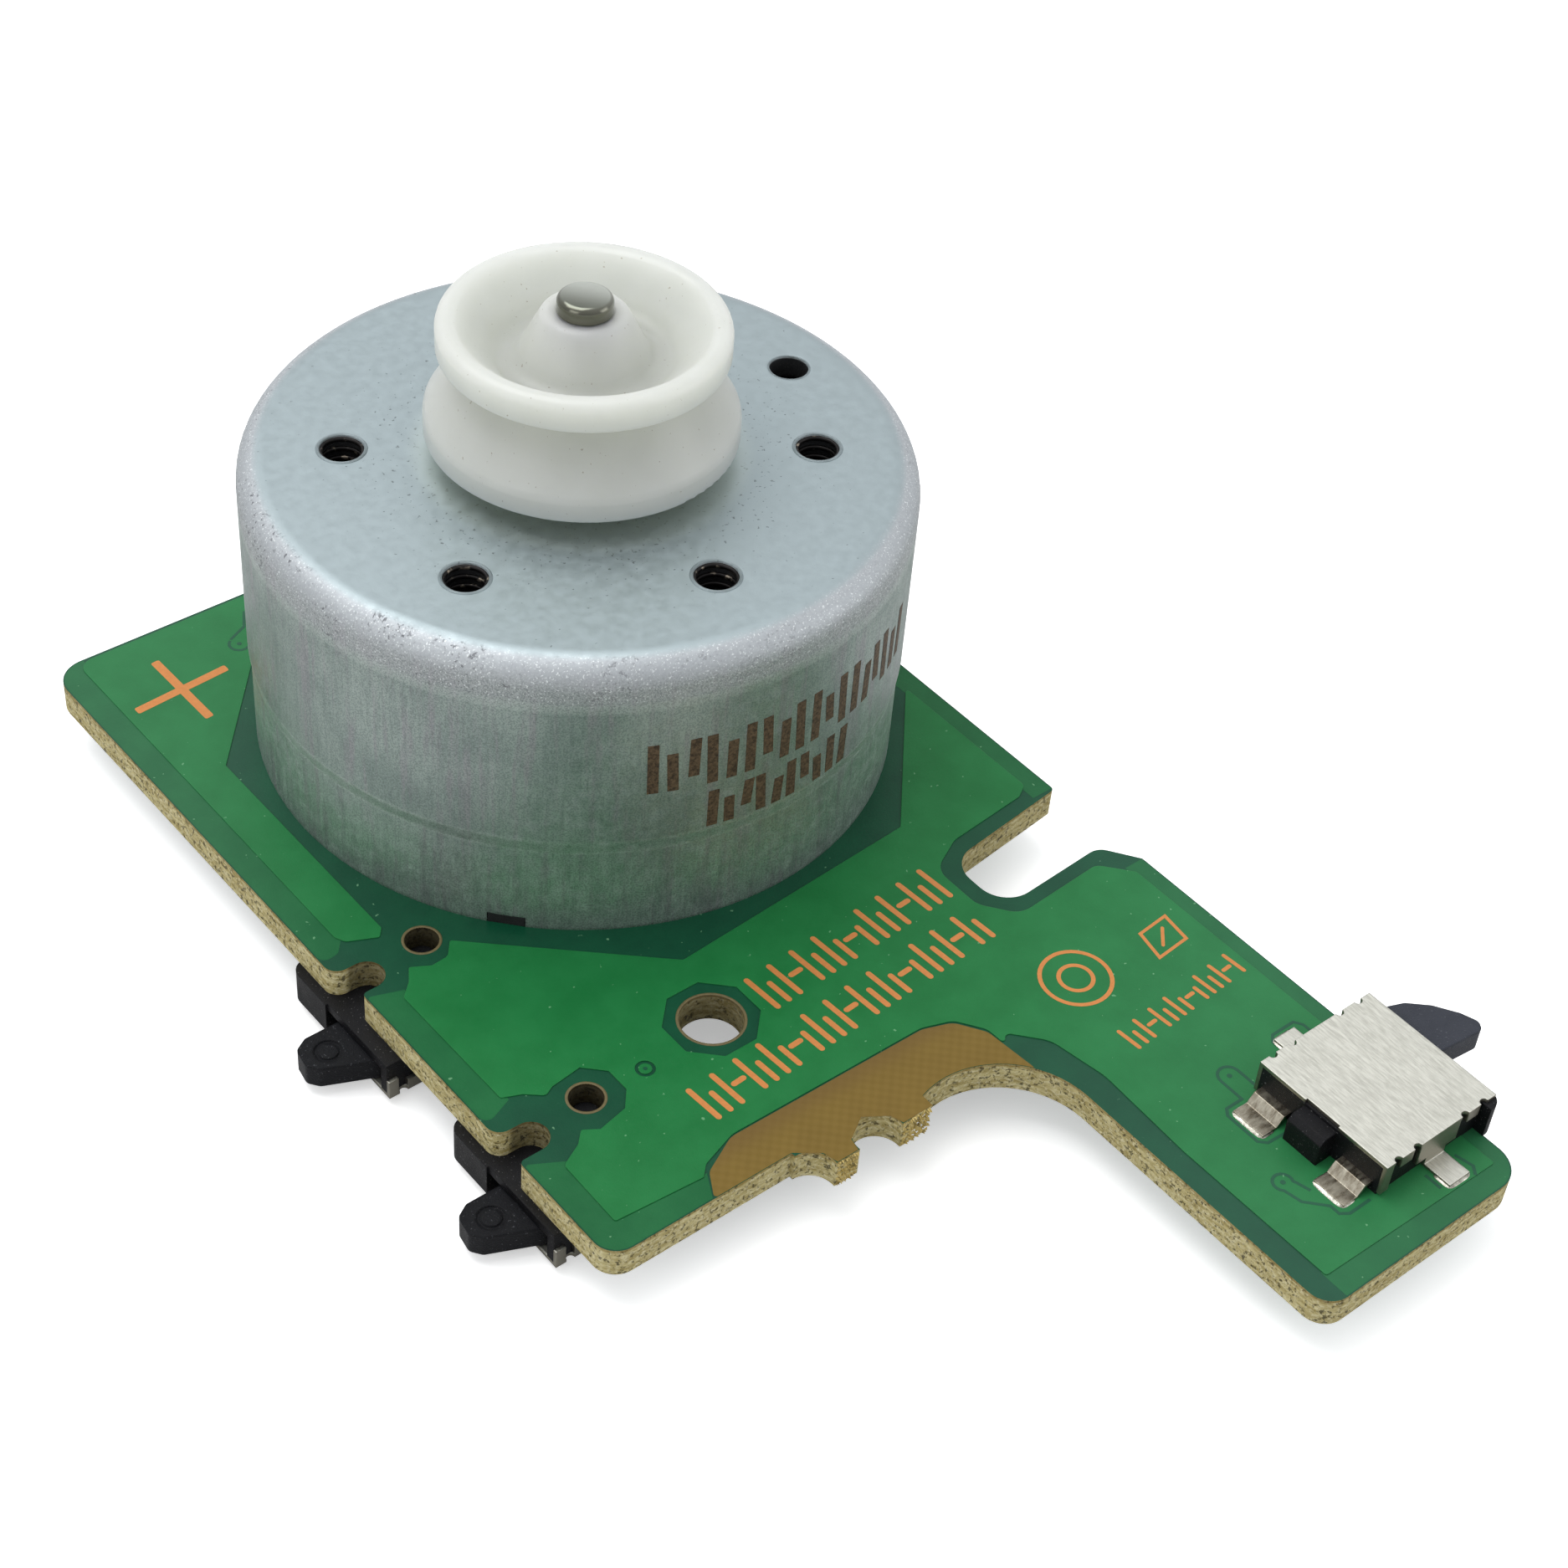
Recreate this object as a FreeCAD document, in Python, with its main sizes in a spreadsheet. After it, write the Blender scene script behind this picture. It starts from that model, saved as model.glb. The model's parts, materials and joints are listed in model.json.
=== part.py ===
"""Flat brushed motor with a belt pulley, standing on a circuit board with three lever switches.

Millimetres. The origin is the middle of the motor's mounting face, +Z runs out along the shaft
towards the pulley, and the board's arm runs towards -Y. Every driving size is a cell of the
sheet "sizes", and each sub-part is bound to those cells.
"""

import FreeCAD, Part
import Sketcher
import math
import os
import re

Vector = FreeCAD.Vector

SIZES = {
    # Motor can. The face is at height 0 and the rim stands on the board.
    "can_radius": 12.25,
    "can_lower_radius": 12.15,
    "can_step_drop": 7.9,
    "can_step_taper": 0.5,
    "can_length": 12.2,
    "can_wall": 0.8,
    "can_face": 0.9,
    "can_round": 1.0,
    "can_inner_round": 0.5,
    "can_turn": 42,
    "collar_radius": 3.4,
    "collar_rise": 0.5,
    "screw_circle": 17.0,
    "screw_angle": 146.2,
    "screw_step": 60,
    "screw_bore": 0.8,
    "screw_collar": 1.25,
    "screw_depth": 1.7,
    "vent_offset": 9.4,
    "vent_angle": 358.5,
    "vent_bore": 0.74,
    "rim_notch_width": 1.4,
    "rim_notch_rise": 0.45,
    # Bearings, magnet and end cap.
    "bearing_radius": 2.6,
    "bearing_drop": 2.3,
    "shaft_radius": 1.0,
    "running_gap": 0.03,
    "magnet_inner": 9.0,
    "magnet_gap": 0.03,
    "magnet_high": 1.75,
    "magnet_low": 9.6,
    "cap_rim_inner": 10.2,
    "cap_floor": 1.0,
    "cap_boss_radius": 3.0,
    "cap_boss_rise": 0.6,
    "rear_bearing_radius": 2.0,
    "rear_bearing_high": 10.6,
    "rear_bearing_low": 12.1,
    # Shaft, armature and commutator.
    "shaft_top": 6.45,
    "shaft_bottom": 11.9,
    "shaft_round": 0.25,
    "core_radius": 8.6,
    "core_high": 3.5,
    "core_low": 7.5,
    "core_shoe": 0.9,
    "core_arm_width": 2.8,
    "core_hub_radius": 3.1,
    "core_slot": 1.6,
    "coil_inner": 3.7,
    "coil_outer": 7.2,
    "coil_width": 5.2,
    "coil_overhang": 0.9,
    "coil_round": 1.1,
    "coil_gap": 0.02,
    "washer_radius": 1.9,
    "washer_high": 2.35,
    "washer_thick": 0.25,
    "sleeve_radius": 1.6,
    "hub_radius": 1.5,
    "hub_high": 7.55,
    "hub_low": 10.3,
    "segment_radius": 1.9,
    "segment_high": 8.7,
    "segment_low": 10.25,
    "segment_slot": 0.35,
    "riser_radius": 2.6,
    "riser_thick": 0.2,
    "varistor_inner": 1.95,
    "varistor_outer": 3.6,
    "varistor_thick": 0.5,
    # Brushes and terminals, drawn on the -Y side and then turned.
    "brush_turn": 180,
    "brush_thick": 0.12,
    "brush_high": 9.6,
    "brush_low": 10.4,
    "brush_tip": 1.4,
    "brush_bend": 6.0,
    "terminal_offset": 3.4,
    "terminal_depth": 7.2,
    "terminal_width": 1.6,
    "terminal_thick": 0.3,
    "terminal_high": 9.45,
    "pin_width": 1.1,
    "pin_low": 14.2,
    "pin_gap": 0.06,
    # Pulley.
    "pulley_low": 0.9,
    "pulley_flange_low": 5.64,
    "pulley_flange_rise": 1.8,
    "pulley_groove_radius": 4.2,
    "pulley_groove_low": 3.85,
    "pulley_groove_high": 4.0,
    "pulley_rim_low": 4.36,
    "pulley_flange_high": 5.18,
    "pulley_top": 5.47,
    "pulley_lip": 4.55,
    "pulley_valley_radius": 2.65,
    "pulley_valley_height": 3.5,
    "pulley_valley_round": 0.6,
    "pulley_hub_radius": 1.5,
    "pulley_hub_top": 5.85,
    "pulley_hub_round": 0.4,
    "pulley_recess_radius": 4.4,
    "pulley_recess_rise": 0.8,
    "pulley_recess_hub": 2.2,
    "pulley_round": 0.15,
    "pulley_flange_round": 0.5,
    "pulley_rim_round": 0.35,
    "pulley_lip_round": 0.4,
    # Circuit board.
    "board_thick": 1.2,
    "board_back": 13.0,
    "board_left_back": -15.35,
    "board_left": -15.0,
    "board_right": 12.0,
    "board_front": -22.3,
    "board_step": -7.4,
    "slot_mouth": -14.3,
    "slot_high": -15.0,
    "slot_low": -17.9,
    "slot_lip": -17.6,
    "slot_end": 6.1,
    "shoulder_x": 11.1,
    "shoulder_y": -19.0,
    "arm_right": 12.1,
    "arm_left": 2.3,
    "arm_end": -37.5,
    "arch_x": -1.2,
    "arch_y": -26.3,
    "tab_left": -7.5,
    "tab_end": -23.5,
    "bite_radius": 0.95,
    "bite_y": -23.4,
    "bite_step": 2.9,
    "corner_round": 0.7,
    "back_round": 1.25,
    "mouth_round": 0.2,
    "slot_round": 1.2,
    "front_round": 0.9,
    "arm_round": 1.2,
    "notch_radius": 0.66,
    "notch_inset": 1.5,
    "notch_offset": 0.3,
    "notch_lip_round": 0.55,
    "notch_round": 0.2,
    "fixing_x": -5.93,
    "fixing_y": -16.0,
    "fixing_radius": 1.15,
    "peg_hole_radius": 0.62,
    # Lever switch. Its own frame has the board face at height 0 and the lever towards +X.
    "switch_half_x": 2.75,
    "switch_half_y": 2.9,
    "switch_tall": 1.5,
    "cover_thick": 0.15,
    "switch_floor": 0.35,
    "cavity_back": -1.9,
    "cavity_low": -2.2,
    "cavity_high": 2.4,
    "nub_x": 2.85,
    "nub_y": -3.2,
    "nub_in": 2.2,
    "nub_end": -0.9,
    "nub_round": 0.55,
    "boss_x": -3.5,
    "boss_low": -0.7,
    "boss_high": 0.8,
    "boss_tall": 1.2,
    "boss_chamfer": 0.22,
    "peg_x": -1.0,
    "peg_y": -0.6,
    "peg_radius": 0.5,
    "peg_long": 0.4,
    "pivot_x": 1.2,
    "pivot_y": 0.75,
    "post_radius": 0.45,
    "post_top": 1.3,
    "lever_bore": 0.5,
    "lever_hub_radius": 1.05,
    "lever_hub_low": 0.57,
    "lever_hub_high": 0.95,
    "lever_low": 0.4,
    "lever_high": 1.28,
    "lever_root": 2.3,
    "lever_round": 0.28,
    "neck_overlap": 0.1,
    "blade_clear": 0.5,
    "mark_x": 3.75,
    "mark_y": 0.65,
    "mark_radius": 0.5,
    "mark_inner": 0.36,
    "mark_deep": 0.05,
    "wiper_low": 0.49,
    "wiper_thick": 0.08,
    "wiper_radius": 0.8,
    "wiper_overlap": 0.15,
    "wiper_near_angle": 146,
    "wiper_near_reach": 1.4,
    "wiper_far_angle": 240,
    "wiper_far_reach": 2.15,
    "wiper_root_spread": 18,
    "wiper_tip_spread": 7,
    "contact_thick": 0.12,
    "contact_inner": 0.9,
    "contact_outer": -4.05,
    "foot_bend": -3.35,
    "bend_run": 0.3,
    "bend_shift": 0.05,
    "contact_near": 1.2,
    "contact_far": 2.6,
    "contact_other_near": 1.15,
    "contact_other_far": 2.5,
    "notch_near": 1.2,
    "notch_far": 2.15,
    "crimp_radius": 0.17,
    "skirt_half": 1.0,
    "skirt_low": 0.45,
    "corner_in": 2.35,
    "corner_low": 0.7,
    "crimp_in": 1.38,
    "crimp_out": 1.97,
    "crimp_low": 1.0,
    "foot_half": 0.5,
    "foot_out": 4.05,
    "cover_step": 0.1,
    "wire_radius": 0.045,
    "coil_radius": 0.62,
    "coil_pitch": 0.1,
    "coil_turns": 2,
    "coil_low": 1.03,
    "leg_long": 1.5,
    "other_leg_long": 1.35,
    # Places of the three switches.
    "upper_x": 9.85,
    "upper_y": -32.4,
    "middle_x": -12.88,
    "middle_y": -7.65,
    "front_x": -12.56,
    "front_y": -16.95,
    # Flat cable connector under the board's back edge.
    "socket_x": 1.0,
    "socket_back": 12.7,
    "socket_front": 9.3,
    "socket_half": 4.4,
    "socket_deep": 1.05,
    "cable_half": 3.4,
    "cable_low": 0.38,
    "cable_high": 0.66,
    "cable_end": 9.9,
    "latch_half": 3.6,
    "latch_bay": 11.35,
    "latch_ceiling": 0.5,
    "latch_axis_y": 11.75,
    "latch_axis_drop": 0.82,
    "latch_thick": 0.3,
    "latch_back": 0.16,
    "trunnion_radius": 0.14,
    "trunnion_long": 0.3,
    "contact_count": 6,
    "contact_pitch": 1.0,
    "contact_width": 0.24,
    "channel_gap": 0.02,
    "channel_deep": 0.44,
    "tail_out": 8.6,
    # Solder under the two motor pins.
    "solder_wide": 1.25,
    "solder_narrow": 0.75,
    "solder_tall": 0.6,
}

doc = FreeCAD.newDocument("motor_with_switch_board")
sheet = doc.addObject("Spreadsheet::Sheet", "sizes")
for row, (name, number) in enumerate(SIZES.items(), start=1):
    sheet.set(f"A{row}", name)
    sheet.set(f"B{row}", str(number))
    sheet.setAlias(f"B{row}", name)
doc.recompute()

SUBPARTS = []
DRAWING_PLANES = {"XY_Plane": 1, "XZ_Plane": -1, "YZ_Plane": 1}
FULL_TURN = 360
MINIMUM_CUT = 1e-6


def bind(formula):
    """Turn a formula on plain size names into one on the sheet's cells."""
    return re.sub(r"[a-z_]+", lambda word: f"sizes.{word[0]}" if word[0] in SIZES else word[0], formula)


def value(formula):
    """Work a formula out to a number."""
    return float(sheet.evalExpression(bind(formula)))


def polar(radius, angle):
    """The two formulas of a point at a radius and an angle in degrees."""
    return f"({radius}) * cos(({angle}) * 1deg)", f"({radius}) * sin(({angle}) * 1deg)"


def handed(points, hand):
    """Mirror an outline's second coordinate when hand is -1."""
    return [(across, f"{hand} * ({up})") for across, up in points]


def handed_span(low, high, hand):
    """Mirror a span of heights along Y when hand is -1."""
    return (low, high) if hand > 0 else (f"-({high})", f"-({low})")


def rectangle(left, right, low, high):
    """The four corners of an upright rectangle."""
    return [(left, low), (right, low), (right, high), (left, high)]


def pin_vertex(sketch, geometry, position, across, up):
    """Hold one vertex of a sketch at two formulas."""
    for kind, formula in (("DistanceX", across), ("DistanceY", up)):
        held = Sketcher.Constraint(kind, -1, 1, geometry, position, value(formula))
        index = sketch.addConstraint(held)
        sketch.setExpression(f"Constraints[{index}]", bind(formula))


def draw_polygon(sketch, points):
    """Draw a closed outline of straight lines through points given as formulas."""
    corners = [Vector(value(across), value(up), 0) for across, up in points]
    first = sketch.GeometryCount
    count = len(corners)
    for i in range(count):
        sketch.addGeometry(Part.LineSegment(corners[i], corners[(i + 1) % count]))
    for i in range(count):
        joined = Sketcher.Constraint("Coincident", first + i, 2, first + (i + 1) % count, 1)
        sketch.addConstraint(joined)
    for i, (across, up) in enumerate(points):
        pin_vertex(sketch, first + i, 1, across, up)


def draw_circle(sketch, centre, radius):
    """Draw a circle from the formulas of its centre and radius."""
    middle = Vector(value(centre[0]), value(centre[1]), 0)
    index = sketch.addGeometry(Part.Circle(middle, Vector(0, 0, 1), value(radius)))
    pin_vertex(sketch, index, 3, *centre)
    sized = sketch.addConstraint(Sketcher.Constraint("Radius", index, value(radius)))
    sketch.setExpression(f"Constraints[{sized}]", bind(radius))


class Piece:
    """One sub-part as a PartDesign body, with a short call for each feature it needs."""

    def __init__(self, label):
        self.body = doc.addObject("PartDesign::Body", label)
        self.body.Label = label
        SUBPARTS.append(self.body)

    def sketch(self, plane, height):
        """An empty sketch on one of the body's own planes, moved along the plane's axis."""
        made = self.body.newObject("Sketcher::SketchObject", f"{self.body.Name}_sketch")
        origin = next(o for o in self.body.Origin.OriginFeatures if o.Role == plane)
        made.AttachmentSupport = [(origin, "")]
        made.MapMode = "FlatFace"
        shift = bind(f"{DRAWING_PLANES[plane]} * ({height})")
        made.setExpression("AttachmentOffset.Base.z", shift)
        return made

    def fill(self, sketch, outlines):
        """Draw each outline: a list of corners, or a (centre, radius) pair for a circle."""
        for outline in outlines:
            if isinstance(outline, tuple):
                draw_circle(sketch, *outline)
            else:
                draw_polygon(sketch, outline)

    def pad(self, outlines, low, high, plane="XY_Plane"):
        """Add material between two heights along the plane's axis."""
        sketch = self.sketch(plane, low if DRAWING_PLANES[plane] > 0 else high)
        self.fill(sketch, outlines)
        feature = self.body.newObject("PartDesign::Pad", f"{self.body.Name}_pad")
        feature.Profile = sketch
        feature.setExpression("Length", bind(f"({high}) - ({low})"))
        doc.recompute()
        return feature

    def cut(self, outlines, low, high, plane="XY_Plane"):
        """Remove material between two heights along the plane's axis."""
        before = self.body.Shape.Volume
        sketch = self.sketch(plane, high if DRAWING_PLANES[plane] > 0 else low)
        self.fill(sketch, outlines)
        feature = self.body.newObject("PartDesign::Pocket", f"{self.body.Name}_pocket")
        feature.Profile = sketch
        feature.setExpression("Length", bind(f"({high}) - ({low})"))
        doc.recompute()
        if before - self.body.Shape.Volume < MINIMUM_CUT:
            raise RuntimeError(f"{self.body.Label}: a pocket cut nothing")
        return feature

    def revolve(self, points):
        """Turn an outline of (radius, height) points about the Z axis."""
        sketch = self.sketch("XZ_Plane", "0")
        draw_polygon(sketch, points)
        feature = self.body.newObject("PartDesign::Revolution", f"{self.body.Name}_revolution")
        feature.Profile = sketch
        feature.ReferenceAxis = (sketch, ["V_Axis"])
        feature.Angle = FULL_TURN
        doc.recompute()
        return feature

    def dress(self, kind, size, test):
        """Round or chamfer the edges that pass a test."""
        chosen = [f"Edge{i}" for i, edge in enumerate(self.body.Shape.Edges, 1) if test(edge)]
        if not chosen:
            raise RuntimeError(f"{self.body.Label}: no edge to dress")
        base = self.body.Tip
        feature = self.body.newObject(f"PartDesign::{kind}", f"{self.body.Name}_{kind}")
        feature.Base = (base, chosen)
        feature.setExpression("Radius" if kind == "Fillet" else "Size", bind(size))
        doc.recompute()
        return feature

    def place(self, x, y, z, axis=Vector(0, 0, 1), turn="0"):
        """Move the body to its place: a turn about an axis, then a shift."""
        self.body.Placement = FreeCAD.Placement(Vector(), FreeCAD.Rotation(axis, value(turn)))
        for letter, formula in zip("xyz", (x, y, z)):
            self.body.setExpression(f"Placement.Base.{letter}", bind(formula))
        doc.recompute()


def round_edge(radius, height):
    """A test for a circular edge of a given radius at a given height."""

    def test(edge):
        if not isinstance(edge.Curve, Part.Circle):
            return False
        ring = edge.Curve
        return math.isclose(ring.Radius, value(radius), abs_tol=1e-5) and math.isclose(
            ring.Center.z, value(height), abs_tol=1e-5
        )

    return test


def upright_edge(*places):
    """A test for straight edges along Z that stand at any of the given places."""
    spots = [Vector(value(x), value(y), 0) for x, y in places]

    def test(edge):
        start, end = edge.Vertexes[0].Point, edge.Vertexes[-1].Point
        level = Vector(start.x, start.y, 0)
        standing = level.isEqual(Vector(end.x, end.y, 0), 1e-5) and abs(start.z - end.z) > 1e-5
        return standing and any(level.isEqual(spot, 1e-4) for spot in spots)

    return test


def ring(label, inner, outer, low, high):
    """A plain tube about the Z axis."""
    piece = Piece(label)
    piece.revolve(rectangle(inner, outer, low, high))
    return piece


def screw_spots():
    """Places of the four tapped holes, in the can's own frame."""
    angles = [f"screw_angle - can_turn + {k} * screw_step" for k in range(4)]
    return [polar("screw_circle / 2", angle) for angle in angles]


def motor_can():
    """Drawn can with a bearing collar, four tapped holes, a plain hole and two rim notches."""
    piece = Piece("motor_can")
    piece.revolve([
        ("bearing_radius", "collar_rise"),
        ("collar_radius", "collar_rise"),
        ("collar_radius", "0"),
        ("can_radius", "0"),
        ("can_radius", "-can_step_drop"),
        ("can_lower_radius", "-can_step_drop - can_step_taper"),
        ("can_lower_radius", "-can_length"),
        ("can_radius - can_wall", "-can_length"),
        ("can_radius - can_wall", "-can_face"),
        ("bearing_radius", "-can_face"),
    ])
    piece.dress("Fillet", "can_round", round_edge("can_radius", "0"))
    piece.dress("Fillet", "can_inner_round", round_edge("can_radius - can_wall", "-can_face"))
    piece.pad([(spot, "screw_collar") for spot in screw_spots()], "-screw_depth", "-can_face")
    piece.cut([(spot, "screw_bore") for spot in screw_spots()], "-screw_depth", "0")
    vent = polar("vent_offset", "vent_angle - can_turn")
    piece.cut([(vent, "vent_bore")], "-can_face", "0")
    side = rectangle("-can_radius", "can_radius", "-rim_notch_width / 2", "rim_notch_width / 2")
    piece.cut([side], "-can_length", "-can_length + rim_notch_rise")
    piece.place("0", "0", "0", turn="can_turn")


def end_cap():
    """Moulded cap with a rim that carries the magnet, a bearing boss and two keys."""
    piece = Piece("end_cap")
    outer = "can_radius - can_wall - magnet_gap"
    floor = "-can_length + cap_floor"
    piece.revolve([
        ("rear_bearing_radius", "-can_length"),
        (outer, "-can_length"),
        (outer, "-magnet_low"),
        ("cap_rim_inner", "-magnet_low"),
        ("cap_rim_inner", floor),
        ("cap_boss_radius", floor),
        ("cap_boss_radius", f"{floor} + cap_boss_rise"),
        ("rear_bearing_radius", f"{floor} + cap_boss_rise"),
    ])
    half = "rim_notch_width / 2 - magnet_gap"
    reach = "can_lower_radius - magnet_gap"
    keys = [
        rectangle(f"-({reach})", f"-({outer}) + can_wall", f"-({half})", half),
        rectangle(f"{outer} - can_wall", reach, f"-({half})", half),
    ]
    piece.pad(keys, "-can_length", "-can_length + rim_notch_rise - magnet_gap")
    for side in (-1, 1):
        piece.cut([pin_slot(side, "can_turn")], "-can_length", floor)
    piece.place("0", "0", "0", turn="can_turn")


def pin_slot(side, frame_turn):
    """The hole for one motor pin, as corners in a frame turned by frame_turn."""
    half_wide = "pin_width / 2 + pin_gap"
    corners = rectangle(
        f"{side} * terminal_offset - ({half_wide})",
        f"{side} * terminal_offset + {half_wide}",
        "-terminal_depth - pin_gap",
        "-terminal_depth + terminal_thick + pin_gap",
    )
    turn = f"((brush_turn - {frame_turn}) * 1deg)"
    return [
        (f"({x}) * cos{turn} - ({y}) * sin{turn}", f"({x}) * sin{turn} + ({y}) * cos{turn}")
        for x, y in corners
    ]


def brush(label, side):
    """Leaf brush: a straight blade on the commutator and a bend out to its terminal."""
    piece = Piece(label)
    inner = "segment_radius + running_gap"
    face = "-terminal_depth + terminal_thick"
    outline = [
        (inner, "brush_tip"),
        (f"{inner} + brush_thick", "brush_tip"),
        (f"{inner} + brush_thick", "-brush_bend"),
        ("terminal_offset", f"{face} + brush_thick"),
        ("terminal_offset + terminal_width / 2", f"{face} + brush_thick"),
        ("terminal_offset + terminal_width / 2", face),
        ("terminal_offset - brush_thick", face),
        (inner, "-brush_bend"),
    ]
    piece.pad([[(f"{side} * ({x})", y) for x, y in outline]], "-brush_low", "-brush_high")
    piece.place("0", "0", "0", turn="brush_turn")


def terminal(label, side):
    """Flat terminal with a narrower pin that passes through the cap and the board."""
    piece = Piece(label)
    shoulder = "-can_length + cap_floor"
    middle = f"{side} * terminal_offset"
    blade = rectangle(
        f"{middle} - terminal_width / 2",
        f"{middle} + terminal_width / 2",
        "-terminal_depth",
        "-terminal_depth + terminal_thick",
    )
    pin = rectangle(
        f"{middle} - pin_width / 2",
        f"{middle} + pin_width / 2",
        "-terminal_depth",
        "-terminal_depth + terminal_thick",
    )
    piece.pad([blade], shoulder, "-terminal_high")
    piece.pad([pin], "-pin_low", shoulder)
    piece.place("0", "0", "0", turn="brush_turn")


def shaft():
    """Ground steel shaft with rounded ends."""
    piece = Piece("shaft")
    piece.pad([(("0", "0"), "shaft_radius")], "-shaft_bottom", "shaft_top")

    def both_ends(edge):
        return isinstance(edge.Curve, Part.Circle)

    piece.dress("Fillet", "shaft_round", both_ends)


def primitive(kind, label, **sizes):
    """A Part primitive whose sizes are bound to formulas."""
    made = doc.addObject(f"Part::{kind}", label)
    for name, formula in sizes.items():
        made.setExpression(name, bind(formula))
    return made


def lift(made, height, turn=0):
    """Raise a primitive to a height and turn it about the Z axis."""
    made.Placement = FreeCAD.Placement(Vector(), FreeCAD.Rotation(Vector(0, 0, 1), turn))
    made.setExpression("Placement.Base.z", bind(height))
    return made


def bar_shape(near, far, half_width, low, high, turn):
    """A plain bar that runs out from the Z axis in one direction."""
    bar = Part.makeBox(
        value(far) - value(near),
        2 * value(half_width),
        value(high) - value(low),
        Vector(value(near), -value(half_width), value(low)),
    )
    bar.rotate(Vector(), Vector(0, 0, 1), turn)
    return bar


def solid_feature(label, shape):
    """A sub-part whose shape comes from shape functions, because it repeats about the axis."""
    made = doc.addObject("Part::Feature", label)
    made.Shape = shape
    made.Placement = FreeCAD.Placement()
    SUBPARTS.append(made)
    return made


POLE_TURNS = (30, 150, 270)
HALF_POLE_PITCH = 60


def armature_core():
    """Three-pole stack: a hub, three arms and their shoes, with slots between the shoes."""
    tall = "core_low - core_high"
    disc = lift(primitive("Cylinder", "core_disc", Radius="core_radius", Height=tall), "-core_low")
    gap = primitive("Cylinder", "core_space", Radius="core_radius - core_shoe", Height=tall)
    hub = primitive("Cylinder", "core_hub", Radius="core_hub_radius", Height=tall)
    bore = primitive("Cylinder", "core_bore", Radius="shaft_radius", Height=tall)
    for made in (gap, hub, bore):
        lift(made, "-core_low")
    shoes = doc.addObject("Part::Cut", "core_shoes")
    shoes.Base, shoes.Tool = disc, gap
    arms = []
    slots = []
    for k, turn in enumerate(POLE_TURNS):
        arm = doc.addObject("Part::Feature", f"core_arm_{k}")
        arm.Shape = bar_shape("0", "core_radius - core_shoe / 2", "core_arm_width / 2",
                              "-core_low", "-core_high", turn)
        arms.append(arm)
        slot = doc.addObject("Part::Feature", f"core_slot_{k}")
        slot.Shape = bar_shape("core_hub_radius", "core_radius + core_shoe", "core_slot / 2",
                               "-core_low", "-core_high", turn + HALF_POLE_PITCH)
        slots.append(slot)
    joined = doc.addObject("Part::MultiFuse", "core_joined")
    joined.Shapes = [shoes, hub, *arms]
    removed = doc.addObject("Part::MultiFuse", "core_removed")
    removed.Shapes = [bore, *slots]
    core = doc.addObject("Part::Cut", "armature_core")
    core.Base, core.Tool = joined, removed
    core.Label = "armature_core"
    SUBPARTS.append(core)


def armature_coils():
    """Three rounded coils, one round each arm of the core."""
    coils = []
    for turn in POLE_TURNS:
        wound = bar_shape("coil_inner", "coil_outer", "coil_width / 2",
                          "-core_low - coil_overhang", "-core_high + coil_overhang", 0)
        along = [edge for edge in wound.Edges if abs(edge.tangentAt(edge.FirstParameter).x) > 0.99]
        wound = wound.makeFillet(value("coil_round"), along)
        opening = bar_shape("0", "core_radius", "core_arm_width / 2 + coil_gap",
                            "-core_low - coil_gap", "-core_high + coil_gap", 0)
        coil = wound.cut(opening)
        coil.rotate(Vector(), Vector(0, 0, 1), turn)
        coils.append(coil)
    solid_feature("armature_coils", Part.makeCompound(coils))


def commutator_segments():
    """Three copper segments with short risers, parted by slots."""
    long = value("segment_low") - value("segment_high")
    base = Vector(0, 0, -value("segment_low"))
    tube = Part.makeCylinder(value("segment_radius"), long, base)
    riser = Part.makeCylinder(
        value("riser_radius"), value("riser_thick"), Vector(0, 0, -value("segment_high"))
    )
    bore = Part.makeCylinder(value("hub_radius"), 2 * long, base)
    whole = tube.fuse(riser).cut(bore)
    for turn in POLE_TURNS:
        whole = whole.cut(bar_shape("0", "riser_radius + riser_thick", "segment_slot / 2",
                                    "-segment_low", "-segment_high + riser_thick", turn))
    solid_feature("commutator_segments", Part.makeCompound(whole.Solids))


def drive_pulley():
    """Moulded pulley: two flanges, a V groove, a dished top and a raised conical hub."""
    piece = Piece("drive_pulley")
    piece.revolve([
        ("shaft_radius", "pulley_low"),
        ("pulley_recess_hub", "pulley_low"),
        ("pulley_recess_hub", "pulley_low + pulley_recess_rise"),
        ("pulley_recess_radius", "pulley_low + pulley_recess_rise"),
        ("pulley_recess_radius", "pulley_low"),
        ("pulley_flange_low", "pulley_low"),
        ("pulley_flange_low", "pulley_flange_rise"),
        ("pulley_groove_radius", "pulley_groove_low"),
        ("pulley_groove_radius", "pulley_groove_high"),
        ("pulley_flange_high", "pulley_rim_low"),
        ("pulley_flange_high", "pulley_top"),
        ("pulley_lip", "pulley_top"),
        ("pulley_valley_radius", "pulley_valley_height"),
        ("pulley_hub_radius", "pulley_hub_top"),
        ("shaft_radius", "pulley_hub_top"),
    ])
    for size, radius, height in (
        ("pulley_round", "pulley_flange_low", "pulley_low"),
        ("pulley_flange_round", "pulley_flange_low", "pulley_flange_rise"),
        ("pulley_round", "pulley_flange_high", "pulley_rim_low"),
        ("pulley_rim_round", "pulley_flange_high", "pulley_top"),
        ("pulley_lip_round", "pulley_lip", "pulley_top"),
        ("pulley_valley_round", "pulley_valley_radius", "pulley_valley_height"),
        ("pulley_hub_round", "pulley_hub_radius", "pulley_hub_top"),
    ):
        piece.dress("Fillet", size, round_edge(radius, height))


LOWER_PLACES = (("middle_x", "middle_y"), ("front_x", "front_y"))


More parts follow.
